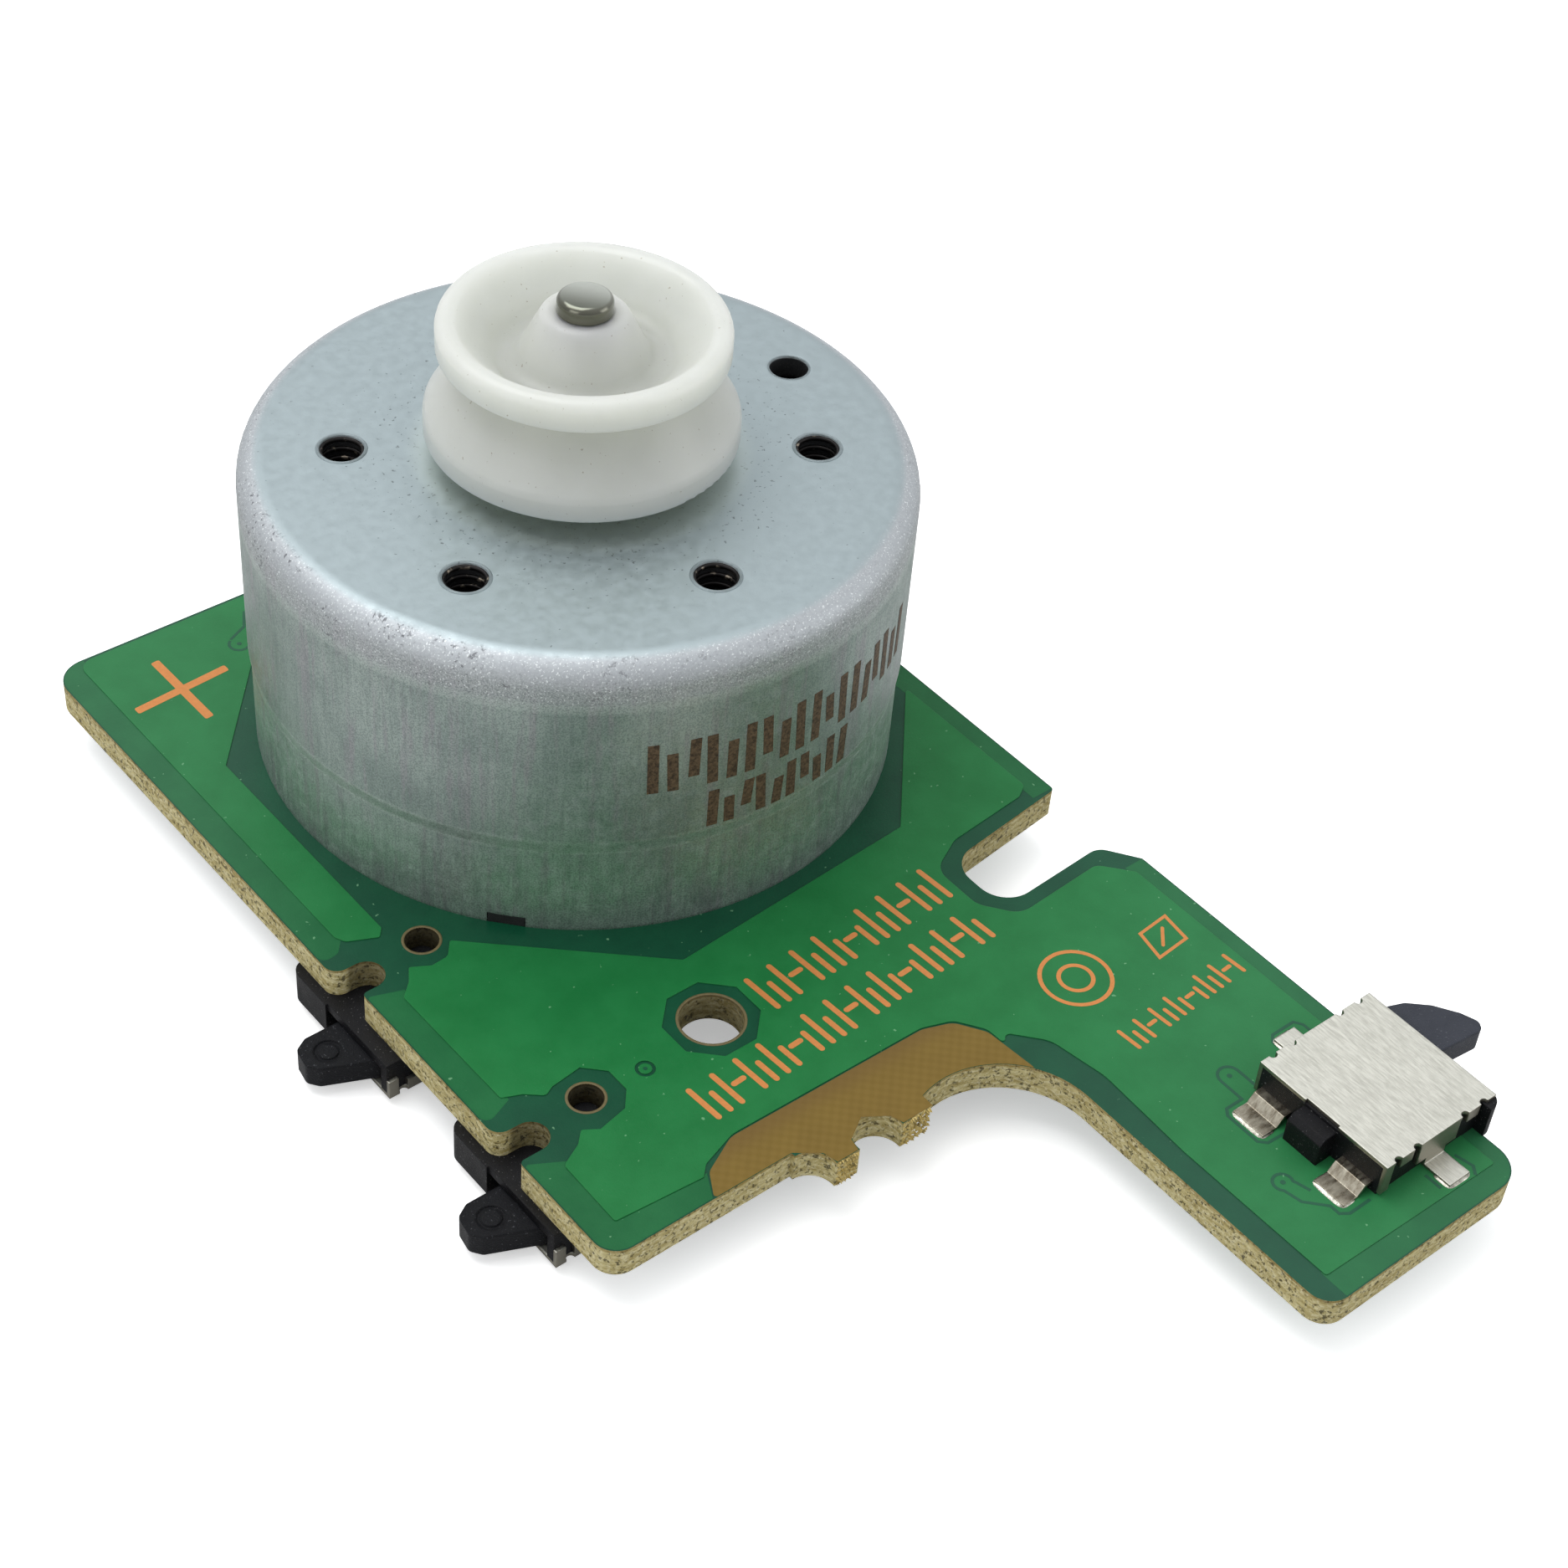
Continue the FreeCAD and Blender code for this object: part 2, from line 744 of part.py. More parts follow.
def circuit_board():
    """Routed board: body, arm with an arch, side slot, edge notches, holes and snapped tabs."""
    piece = Piece("circuit_board")
    top, bottom = "-can_length", "-can_length - board_thick"
    outline = [
        ("board_left_back", "board_back"),
        ("board_right", "board_back"),
        ("board_right", "slot_mouth"),
        ("slot_end", "slot_high"),
        ("slot_end", "slot_low"),
        ("shoulder_x", "slot_lip"),
        ("arm_right", "shoulder_y"),
        ("arm_right", "arm_end"),
        ("arm_left", "arm_end"),
        ("arm_left", "arch_y"),
        ("arch_x", "arch_y"),
        ("arch_x", "tab_end"),
        ("tab_left", "tab_end"),
        ("tab_left", "board_front"),
        ("board_left", "board_front"),
        ("board_left", "board_step"),
        ("board_left_back", "board_step"),
    ]
    piece.pad([outline], bottom, top)
    for size, corners in (
        ("corner_round", [("board_right", "board_back"), ("shoulder_x", "slot_lip")]),
        ("back_round", [("board_left_back", "board_back")]),
        ("mouth_round", [("board_right", "slot_mouth"), ("arm_right", "shoulder_y")]),
        ("slot_round", [("slot_end", "slot_high"), ("slot_end", "slot_low")]),
        ("front_round", [("board_left", "board_front"), ("arm_left", "arm_end")]),
        ("arm_round", [("arm_right", "arm_end")]),
    ):
        piece.dress("Fillet", size, upright_edge(*corners))
    arch = (("arch_x", "arch_y"), "arm_left - arch_x")
    bites = [((f"tab_left + {k} * bite_step", "bite_y"), "bite_radius") for k in range(2)]
    piece.cut([arch], bottom, top)
    piece.cut(bites, bottom, top)
    for x, y in LOWER_PLACES:
        notch_x, notch_y = f"{x} - notch_inset", f"{y} + notch_offset"
        mouth = rectangle("board_left_back - notch_radius", notch_x,
                          f"{notch_y} - notch_radius", f"{notch_y} + notch_radius")
        piece.cut([((notch_x, notch_y), "notch_radius")], bottom, top)
        piece.cut([mouth], bottom, top)
    piece.dress("Fillet", "notch_lip_round", upright_edge(
        ("board_left_back", "middle_y + notch_offset + notch_radius"),
        ("board_left", "front_y + notch_offset + notch_radius"),
    ))
    piece.dress("Fillet", "notch_round", upright_edge(
        ("board_left", "middle_y + notch_offset - notch_radius"),
        ("board_left", "front_y + notch_offset - notch_radius"),
    ))
    piece.cut([(("fixing_x", "fixing_y"), "fixing_radius")], bottom, top)
    pegs = [((f"{x} - peg_x", f"{y} - peg_y"), "peg_hole_radius") for x, y in LOWER_PLACES]
    pegs.append((("upper_x + peg_x", "upper_y + peg_y"), "peg_hole_radius"))
    piece.cut(pegs, bottom, top)
    piece.cut([pin_slot(-1, "0"), pin_slot(1, "0")], bottom, top)


def solder_joints():
    """Two cones of solder round the motor pins, under the board."""
    cones = []
    turn = value("brush_turn")
    low = -value("can_length") - value("board_thick") - value("solder_tall")
    for side in (-1, 1):
        centre = Vector(side * value("terminal_offset"),
                        value("terminal_thick") / 2 - value("terminal_depth"), low)
        cone = Part.makeCone(value("solder_narrow"), value("solder_wide"),
                             value("solder_tall"), centre)
        pin = Part.makeBox(value("pin_width"), value("terminal_thick"), 2 * value("solder_tall"),
                           centre - Vector(value("pin_width") / 2, value("terminal_thick") / 2, 0))
        joint = cone.cut(pin)
        joint.rotate(Vector(), Vector(0, 0, 1), turn)
        cones.append(joint)
    solid_feature("solder_joints", Part.makeCompound(cones))


def contact_profile():
    """Side view of a switch contact: foot on the board, bend, and plate on the floor."""
    top = "switch_floor + contact_thick"
    return [
        ("contact_outer", "0"),
        ("foot_bend", "0"),
        ("foot_bend + bend_run", "switch_floor"),
        ("contact_inner", "switch_floor"),
        ("contact_inner", top),
        ("foot_bend + bend_run - bend_shift", top),
        ("foot_bend - bend_shift", "contact_thick"),
        ("contact_outer", "contact_thick"),
    ]


CONTACT_SPANS = (
    ("contact_near", "contact_far"),
    ("-contact_other_far", "-contact_other_near"),
)


def switch_housing(label, hand):
    """Tray with an opening for the lever, a rounded end wall, a post, a rear boss and a peg."""
    piece = Piece(label)
    wall_y = "switch_half_y - cover_thick"
    top = "switch_tall - cover_thick"
    outline = [
        ("-switch_half_x", f"-({wall_y})"),
        ("nub_in", f"-({wall_y})"),
        ("nub_in", "nub_y"),
        ("nub_x", "nub_y"),
        ("nub_x", "nub_end"),
        ("switch_half_x", "nub_end"),
        ("switch_half_x", wall_y),
        ("-switch_half_x", wall_y),
    ]
    piece.pad([handed(outline, hand)], "0", top)
    piece.dress("Fillet", "nub_round", upright_edge(*handed([("nub_x", "nub_y")], hand)))
    cavity = rectangle("cavity_back", "nub_in", "cavity_low", "cavity_high")
    opening = rectangle("nub_in", "nub_x", "nub_end", "cavity_high")
    piece.cut([handed(cavity, hand)], "switch_floor", top)
    piece.cut([handed(opening, hand)], "switch_floor", top)
    boss = [
        ("boss_x", "0"),
        ("cavity_back", "0"),
        ("cavity_back", "boss_tall"),
        ("boss_x + boss_chamfer", "boss_tall"),
        ("boss_x", "boss_tall - boss_chamfer"),
    ]
    piece.pad([boss], *handed_span("boss_low", "boss_high", hand), plane="XZ_Plane")
    for near, far in CONTACT_SPANS:
        piece.cut([contact_profile()], *handed_span(near, far, hand), plane="XZ_Plane")
    post = handed([("pivot_x", "pivot_y")], hand)[0]
    piece.pad([(post, "post_radius")], "0", "post_top")
    peg = handed([("peg_x", "peg_y")], hand)[0]
    piece.pad([(peg, "peg_radius")], "-peg_long", "switch_floor / 2")
    return piece


def switch_contacts(label, hand):
    """The two contacts that are moulded into the housing."""
    piece = Piece(label)
    for near, far in CONTACT_SPANS:
        piece.pad([contact_profile()], *handed_span(near, far, hand), plane="XZ_Plane")
    return piece


def switch_cover(label, hand):
    """Sheet cover with notched short sides, bent skirts and two feet on the board."""
    piece = Piece(label)
    under = "switch_tall - cover_thick"
    edge = "switch_half_y"
    inside = "switch_half_y - cover_thick"
    step_low, step_high = handed_span("boss_low", "boss_high", hand)
    plate = [
        ("-switch_half_x", f"-{edge}"),
        ("switch_half_x", f"-{edge}"),
        ("switch_half_x", edge),
        ("-switch_half_x", edge),
        ("-switch_half_x", step_high),
        ("-switch_half_x + cover_step", step_high),
        ("-switch_half_x + cover_step", step_low),
        ("-switch_half_x", step_low),
    ]
    piece.pad([plate], under, "switch_tall")
    for side in (-1, 1):
        def strip(left, right, near, far):
            return [(x, f"{side} * ({y})") for x, y in rectangle(left, right, near, far)]

        piece.pad([strip("-skirt_half", "skirt_half", inside, edge)], "skirt_low", under)
        piece.pad([strip("-foot_half", "foot_half", inside, edge)], "0", "skirt_low")
        piece.pad([strip("-foot_half", "foot_half", inside, "foot_out")], "0", "cover_thick")
        piece.pad([strip("-switch_half_x", "-corner_in", inside, edge)], "cover_thick", under)
        for along in (-1, 1):
            near, far = ("crimp_in", "crimp_out") if along > 0 else ("-crimp_out", "-crimp_in")
            piece.pad([strip(near, far, inside, edge)], "crimp_low", under)
        if side * hand > 0:
            piece.pad([strip("corner_in", "switch_half_x", inside, edge)], "corner_low", under)
        spots = [
            ((f"{along} * {place}", f"{side} * {edge}"), "crimp_radius")
            for along in (-1, 1)
            for place in ("notch_near", "notch_far")
        ]
        piece.cut(spots, under, "switch_tall")
    return piece


def switch_lever(label, hand, blade):
    """Lever: a bored hub on the post, a neck and a thick blade with a moulding mark."""
    piece = Piece(label)
    pivot = handed([("pivot_x", "pivot_y")], hand)[0]
    hub = (pivot, "lever_hub_radius")
    bore = (pivot, "lever_bore")
    piece.pad([hub, bore], "lever_hub_low", "lever_hub_high")
    neck = [
        ("pivot_x + lever_bore + neck_overlap", "pivot_y - lever_hub_radius + 2 * neck_overlap"),
        ("lever_root + neck_overlap", "pivot_y - lever_hub_radius + neck_overlap"),
        ("lever_root + neck_overlap", "pivot_y + lever_hub_radius - neck_overlap"),
        ("pivot_x + lever_bore + neck_overlap", "pivot_y + lever_hub_radius - 2 * neck_overlap"),
    ]
    piece.pad([handed(neck, hand)], "lever_hub_low", "lever_hub_high")
    piece.pad([handed(blade, hand)], "lever_low", "lever_high")
    outer = [corner for corner in blade if value(corner[0]) > value("lever_root + blade_clear")]
    piece.dress("Fillet", "lever_round", upright_edge(*handed(outer, hand)))
    mark = handed([("mark_x", "mark_y")], hand)[0]
    piece.cut([(mark, "mark_radius"), (mark, "mark_inner")], "lever_low", "lever_low + mark_deep")
    return piece


def switch_wiper(label, hand):
    """Thin contact plate under the lever's hub, with an arm over each contact."""
    piece = Piece(label)
    pivot = handed([("pivot_x", "pivot_y")], hand)[0]
    top = "wiper_low + wiper_thick"
    piece.pad([(pivot, "wiper_radius"), (pivot, "lever_bore")], "wiper_low", top)
    for arm in ("near", "far"):
        angle, tip, root = f"wiper_{arm}_angle", f"wiper_{arm}_reach", "wiper_radius - wiper_overlap"
        corners = []
        for radius, spread in ((root, "-wiper_root_spread"), (tip, "-wiper_tip_spread"),
                               (tip, "wiper_tip_spread"), (root, "wiper_root_spread")):
            x, y = polar(radius, f"{angle} + {spread}")
            corners.append((f"pivot_x + {x}", f"pivot_y + {y}"))
        piece.pad([handed(corners, hand)], "wiper_low", top)
    return piece


def switch_spring(label, hand):
    """Return spring round the post: a short coil with two straight legs."""
    piece = Piece(label)
    sketch = piece.sketch("XZ_Plane", "0")
    draw_circle(sketch, ("coil_radius", "coil_low"), "wire_radius")
    coil = piece.body.newObject("PartDesign::AdditiveHelix", f"{label}_helix")
    coil.Profile = sketch
    coil.ReferenceAxis = (sketch, ["V_Axis"])
    coil.Mode = "pitch-turns-angle"
    coil.setExpression("Pitch", bind("coil_pitch"))
    coil.setExpression("Turns", bind("coil_turns"))
    doc.recompute()
    end = "coil_low + coil_pitch * coil_turns"
    piece.pad([(("coil_radius", "coil_low"), "wire_radius")], "-leg_long", "0", plane="XZ_Plane")
    piece.pad([(("coil_radius", end), "wire_radius")], "0", "other_leg_long", plane="XZ_Plane")
    return piece


# Plan outlines of the two kinds of lever blade, in the switch's own frame.
FIN_BLADE = [
    ("lever_root", "-0.3"),
    ("4.85", "-0.55"),
    ("5.08", "-0.2"),
    ("4.85", "0.45"),
    ("4.3", "1.3"),
    ("3.6", "1.95"),
    ("2.95", "2.2"),
    ("lever_root", "2.1"),
]

PADDLE_BLADE = [
    ("lever_root", "-0.3"),
    ("4.1", "-0.3"),
    ("4.62", "0"),
    ("4.75", "0.8"),
    ("4.45", "1.2"),
    ("lever_root", "2.15"),
]


def lever_switch(prefix, hand, blade, x, y, z):
    """All pieces of one switch. A switch under the board is mirrored and turned over."""
    pieces = [
        switch_housing(f"{prefix}_switch_housing", hand),
        switch_contacts(f"{prefix}_switch_contacts", hand),
        switch_cover(f"{prefix}_switch_cover", hand),
        switch_lever(f"{prefix}_switch_lever", hand, blade),
        switch_wiper(f"{prefix}_switch_wiper", hand),
    ]
    flat = Vector(0, 1, 0)
    turned = "0" if hand > 0 else "180"
    for piece in pieces:
        piece.place(x, y, z, axis=flat, turn=turned)
    spring = switch_spring(f"{prefix}_switch_spring", hand)
    side = 1 if hand > 0 else -1
    spring.body.Placement = FreeCAD.Placement(
        Vector(), FreeCAD.Rotation(flat, value(turned)) * FreeCAD.Rotation(Vector(0, 0, 1), 180)
    )
    spring.body.setExpression("Placement.Base.x", bind(f"{x} + {side} * pivot_x"))
    spring.body.setExpression("Placement.Base.y", bind(f"{y} + {side} * pivot_y"))
    spring.body.setExpression("Placement.Base.z", bind(z))
    doc.recompute()


def below(drop):
    """A height under the board's lower face."""
    return f"-can_length - board_thick - ({drop})"


def contact_columns(extra):
    """Left and right sides of the connector's contacts, widened by extra on both sides."""
    half = f"contact_width / 2 + {extra}"
    count = int(SIZES["contact_count"])
    middles = [f"socket_x + ({k} - (contact_count - 1) / 2) * contact_pitch" for k in range(count)]
    return [(f"{middle} - ({half})", f"{middle} + {half}") for middle in middles]


def connector_housing():
    """Flat cable socket: a body with a cable slot, a latch bay and a channel for each contact."""
    piece = Piece("connector_housing")
    left, right = "socket_x - socket_half", "socket_x + socket_half"
    piece.pad([rectangle(left, right, "socket_front", "socket_back")],
              below("socket_deep"), below("0"))
    piece.cut([rectangle("socket_x - cable_half", "socket_x + cable_half",
                         "cable_end", "socket_back")], below("cable_high"), below("cable_low"))
    piece.cut([rectangle("socket_x - latch_half", "socket_x + latch_half",
                         "latch_bay", "socket_back")], below("socket_deep"), below("latch_ceiling"))
    for low, high in contact_columns("channel_gap"):
        piece.cut([rectangle(low, high, "socket_front", "latch_bay")],
                  below("channel_deep"), below("0"))
    reach = "latch_half + trunnion_long + running_gap"
    bearing = [(("latch_axis_y", below("latch_axis_drop")), "trunnion_radius + running_gap")]
    piece.cut(bearing, f"socket_x - ({reach})", f"socket_x + {reach}", plane="YZ_Plane")


def connector_latch():
    """Flip latch with a trunnion at each end."""
    piece = Piece("connector_latch")
    half = "latch_half - 2 * running_gap"
    axis = below("latch_axis_drop")
    piece.pad([rectangle(f"socket_x - ({half})", f"socket_x + {half}",
                         "latch_axis_y - latch_back", "socket_back - running_gap")],
              f"{axis} - latch_thick / 2", f"{axis} + latch_thick / 2")
    reach = "latch_half + trunnion_long"
    piece.pad([(("latch_axis_y", axis), "trunnion_radius")],
              f"socket_x - ({reach})", f"socket_x + {reach}", plane="YZ_Plane")


def connector_contacts():
    """A row of contacts: a thin tail on the board and a deeper strip that reaches the cable."""
    piece = Piece("connector_contacts")
    for low, high in contact_columns("0"):
        piece.pad([rectangle(low, high, "tail_out", "socket_front")],
                  below("contact_thick"), below("0"))
        piece.pad([rectangle(low, high, "socket_front", "latch_bay")],
                  below("channel_deep - channel_gap"), below("0"))


def build():
    """Make every sub-part."""
    motor_can()
    ring("front_bearing", "shaft_radius + running_gap", "bearing_radius",
         "-bearing_drop", "collar_rise")
    ring("ring_magnet", "magnet_inner", "can_radius - can_wall - magnet_gap",
         "-magnet_low", "-magnet_high")
    end_cap()
    ring("rear_bearing", "shaft_radius + running_gap", "rear_bearing_radius",
         "-rear_bearing_low", "-rear_bearing_high")
    for name, side in (("left", 1), ("right", -1)):
        brush(f"brush_{name}", side)
        terminal(f"terminal_{name}", side)
    shaft()
    armature_core()
    armature_coils()
    ring("front_washer", "shaft_radius", "washer_radius",
         "-washer_high - washer_thick", "-washer_high")
    ring("spacer_sleeve", "shaft_radius", "sleeve_radius",
         "-core_high", "-washer_high - washer_thick")
    ring("commutator_hub", "shaft_radius", "hub_radius", "-hub_low", "-hub_high")
    commutator_segments()
    ring("varistor_ring", "varistor_inner", "varistor_outer",
         "-segment_high - varistor_thick", "-segment_high")
    ring("rear_washer", "shaft_radius", "washer_radius",
         "-hub_low - washer_thick", "-hub_low")
    drive_pulley()
    circuit_board()
    solder_joints()
    lever_switch("upper", 1, FIN_BLADE, "upper_x", "upper_y", "-can_length")
    for prefix, (x, y) in zip(("middle", "front"), LOWER_PLACES):
        lever_switch(prefix, -1, PADDLE_BLADE, x, y, below("0"))
    connector_housing()
    connector_latch()
    connector_contacts()
    doc.recompute()


def check():
    """Stop if any object failed or any sub-part has no valid solid."""
    for made in doc.Objects:
        if "Invalid" in made.State or "Error" in made.State:
            raise RuntimeError(f"{made.Label} failed: {made.State}")
    for subpart in SUBPARTS:
        shape = subpart.Shape
        if shape.isNull() or not shape.isValid() or not shape.Solids:
            raise RuntimeError(f"{subpart.Label} has no valid solid")


def export():
    """Write each sub-part to its own file."""
    os.makedirs("parts", exist_ok=True)
    for subpart in SUBPARTS:
        subpart.Shape.exportStep(os.path.join("parts", f"{subpart.Label}.step"))
        solids = len(subpart.Shape.Solids)
        print(f"{subpart.Label}: {solids} solid(s), {subpart.Shape.Volume:.3f} mm3")


build()
check()
export()
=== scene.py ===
import json
import math
import random

import bmesh
import bpy
from mathutils import Matrix, Vector


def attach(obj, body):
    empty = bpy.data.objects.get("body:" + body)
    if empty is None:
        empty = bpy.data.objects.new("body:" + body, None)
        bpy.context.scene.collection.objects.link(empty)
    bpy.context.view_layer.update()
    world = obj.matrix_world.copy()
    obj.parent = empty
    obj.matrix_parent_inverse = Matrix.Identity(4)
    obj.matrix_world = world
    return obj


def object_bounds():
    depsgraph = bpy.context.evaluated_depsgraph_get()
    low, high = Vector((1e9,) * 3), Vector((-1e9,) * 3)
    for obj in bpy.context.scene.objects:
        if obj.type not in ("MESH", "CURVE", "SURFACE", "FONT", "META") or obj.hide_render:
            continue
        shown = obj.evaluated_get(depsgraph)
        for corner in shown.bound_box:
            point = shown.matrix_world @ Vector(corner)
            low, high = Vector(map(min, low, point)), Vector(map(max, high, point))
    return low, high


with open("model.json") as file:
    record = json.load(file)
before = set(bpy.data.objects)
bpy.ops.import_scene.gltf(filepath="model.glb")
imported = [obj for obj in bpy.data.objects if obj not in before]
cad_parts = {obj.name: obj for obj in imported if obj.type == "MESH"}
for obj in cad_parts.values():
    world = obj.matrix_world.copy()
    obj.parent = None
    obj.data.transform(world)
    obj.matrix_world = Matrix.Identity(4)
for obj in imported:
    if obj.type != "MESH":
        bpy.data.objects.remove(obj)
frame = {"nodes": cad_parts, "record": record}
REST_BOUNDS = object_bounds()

# Lengths are written in millimetres and turned into metres where they meet Blender.
MM = 0.001


def node_points(name):
    """The points of a CAD node, in millimetres."""
    node = frame["nodes"][name]
    return [node.matrix_world @ vertex.co / MM for vertex in node.data.vertices]


BOARD_HEIGHTS = [point.z for point in node_points("circuit_board")]
BOARD_TOP = round(max(BOARD_HEIGHTS), 3)
BOARD_BOTTOM = round(min(BOARD_HEIGHTS), 3)
CAN_RADIUS = round(max(math.hypot(point.x, point.y) for point in node_points("motor_can")), 3)

COPPER_THICK = 0.035
INK_THICK = 0.006
SKIN_THICK = 0.004
LASER_DEPTH = 0.006

SCREW_CIRCLE = 8.5
SCREW_ANGLES = [146.2 + 60 * k for k in range(4)]
VENT_CIRCLE = 9.4
VENT_ANGLE = 358.5
THREAD_PITCH = 0.4

HOLE_MIDDLE = (-11.88, -7.05)
HOLE_FRONT = (-11.56, -16.35)
HOLE_FIXING = (-5.93, -16.0)
SMALL_HOLE_RADIUS = 0.62
FIXING_HOLE_RADIUS = 1.15
OCTAGON_SIDES = 8
OCTAGON_TURN = 22.5
NOTCH_MIDDLE = (-14.38, -7.35)
NOTCH_FRONT = (-14.06, -16.65)
# Holes and notches whose walls are seen in shade: place, reach and how dark the wall is.
BOARD_HOLES = (
    (*HOLE_MIDDLE, 0.66, 0.92),
    (*HOLE_FRONT, 0.66, 0.92),
    (*HOLE_FIXING, 1.2, 0.55),
    (*NOTCH_MIDDLE, 0.7, 0.6),
    (*NOTCH_FRONT, 0.7, 0.6),
)
# The plated holes, by the part of the board that they stand on.
VIA_LEFT = (-9.18, -16.49)
VIA_BACK = (-8.6, 10.4)
VIA_ARM = (6.92, -28.55)
VIA_ARM_LOWER = (4.95, -32.95)
RING_PLACE = (5.79, -22.03)

SWITCH_UPPER = (9.85, -32.4)
SWITCH_MIDDLE = (-12.88, -7.65)
SWITCH_FRONT = (-12.56, -16.95)
SOCKET_X = 1.0
CABLE_WIRES = 6
CABLE_PITCH = 1.0
TAIL_Y = 8.4
# The face of the snapped tabs along Y, and where each torn tab starts and ends along X.
TORN_FACE = -23.48
TORN_TABS = ((-6.5, -5.62), (-3.6, -2.4))
random.seed(7)


# ---------------------------------------------------------------- colours

def rgb(red, green, blue):
    """A display colour, 0 to 255, as linear light."""
    def linear(channel):
        share = channel / 255
        return share / 12.92 if share <= 0.04045 else ((share + 0.055) / 1.055) ** 2.4

    return (linear(red), linear(green), linear(blue), 1.0)


# ---------------------------------------------------------------- material toolkit

class Look:
    """A procedural material. Patterns are placed in millimetres of the object's own frame."""

    def __init__(self, name, edge_round=0.0):
        self.material = bpy.data.materials.new(name)
        self.material.use_nodes = True
        self.tree = self.material.node_tree
        self.tree.nodes.clear()
        self.shader = self.node("ShaderNodeBsdfPrincipled")
        output = self.node("ShaderNodeOutputMaterial")
        self.link(self.shader.outputs[0], output.inputs["Surface"])
        coordinates = self.node("ShaderNodeTexCoord")
        scale = self.node("ShaderNodeVectorMath")
        scale.operation = "SCALE"
        scale.inputs["Scale"].default_value = 1 / MM
        self.link(coordinates.outputs["Object"], scale.inputs[0])
        self.place = scale.outputs[0]
        split = self.node("ShaderNodeSeparateXYZ")
        self.link(self.place, split.inputs[0])
        self.x, self.y, self.z = split.outputs
        self.normal = None
        if edge_round > 0:
            soft = self.node("ShaderNodeBevel")
            soft.samples = 4
            soft.inputs["Radius"].default_value = edge_round * MM
            self.normal = soft.outputs[0]
            self.link(self.normal, self.shader.inputs["Normal"])

    def node(self, kind):
        return self.tree.nodes.new(kind)

    def link(self, source, target):
        """Feed a socket, a number or a colour into an input."""
        if hasattr(source, "links"):
            self.tree.links.new(source, target)
        else:
            target.default_value = source

    def calc(self, operation, a, b=0.0):
        made = self.node("ShaderNodeMath")
        made.operation = operation
        self.link(a, made.inputs[0])
        self.link(b, made.inputs[1])
        return made.outputs[0]

    def times(self, a, b):
        return self.calc("MULTIPLY", a, b)

    def join(self, x, y, z):
        made = self.node("ShaderNodeCombineXYZ")
        for source, target in zip((x, y, z), made.inputs):
            self.link(source, target)
        return made.outputs[0]

    def stretch(self, x, y, z):
        """The place, scaled along each axis."""
        return self.join(self.times(self.x, x), self.times(self.y, y), self.times(self.z, z))

    def reach(self, x=0.0, y=0.0):
        """How far the place is from an upright axis."""
        aside, ahead = self.calc("SUBTRACT", self.x, x), self.calc("SUBTRACT", self.y, y)
        return self.calc("SQRT", self.calc("ADD", self.times(aside, aside), self.times(ahead, ahead)))

    def around(self, radius, along, up):
        """Place on a cylinder about Z: length round it, height and radial distance, scaled."""
        angle = self.calc("ARCTAN2", self.y, self.x)
        return self.join(self.times(angle, radius * along), self.times(self.z, up),
                         self.times(self.reach(), up))

    def noise(self, scale, detail, rough=0.55, place=None, warp=0.0):
        made = self.node("ShaderNodeTexNoise")
        made.inputs["Scale"].default_value = scale
        made.inputs["Detail"].default_value = detail
        made.inputs["Roughness"].default_value = rough
        made.inputs["Distortion"].default_value = warp
        self.link(self.place if place is None else place, made.inputs["Vector"])
        return made.outputs[0]

    def cells(self, scale):
        made = self.node("ShaderNodeTexVoronoi")
        made.inputs["Scale"].default_value = scale
        self.link(self.place, made.inputs["Vector"])
        return made.outputs["Distance"]

    def window(self, source, start, end, low=0.0, high=1.0):
        """Rise smoothly from low to high as the source goes from start to end."""
        made = self.node("ShaderNodeMapRange")
        made.interpolation_type = "SMOOTHSTEP"
        self.link(source, made.inputs["Value"])
        for name, number in (("From Min", start), ("From Max", end), ("To Min", low), ("To Max", high)):
            made.inputs[name].default_value = number
        return made.outputs[0]

    def mix(self, share, first, second):
        made = self.node("ShaderNodeMix")
        made.data_type = "RGBA"
        made.clamp_factor = True
        self.link(share, made.inputs[0])
        self.link(first, made.inputs[6])
        self.link(second, made.inputs[7])
        return made.outputs[2]

    def bump(self, height, depth, strength=1.0):
        """Add relief: height from 0 to 1 stands for depth in millimetres."""
        made = self.node("ShaderNodeBump")
        made.inputs["Strength"].default_value = strength
        made.inputs["Distance"].default_value = depth * MM
        self.link(height, made.inputs["Height"])
        if self.normal is not None:
            self.link(self.normal, made.inputs["Normal"])
        self.normal = made.outputs[0]
        self.link(self.normal, self.shader.inputs["Normal"])

    def facing(self):
        """The upright share of the surface's own direction: 1 on level faces, 0 on upright ones."""
        coordinates = self.node("ShaderNodeTexCoord")
        split = self.node("ShaderNodeSeparateXYZ")
        self.link(coordinates.outputs["Normal"], split.inputs[0])
        return self.calc("ABSOLUTE", split.outputs[2])

    def finish(self, colour, rough, metal=0.0, **more):
        """Set the surface's colour, roughness and the rest."""
        self.link(colour, self.shader.inputs["Base Color"])
        self.link(rough, self.shader.inputs["Roughness"])
        self.link(metal, self.shader.inputs["Metallic"])
        for name, source in more.items():
            self.link(source, self.shader.inputs[name.replace("_", " ").title().replace("Ior", "IOR")])
        return self.material


# ---------------------------------------------------------------- materials of the CAD nodes

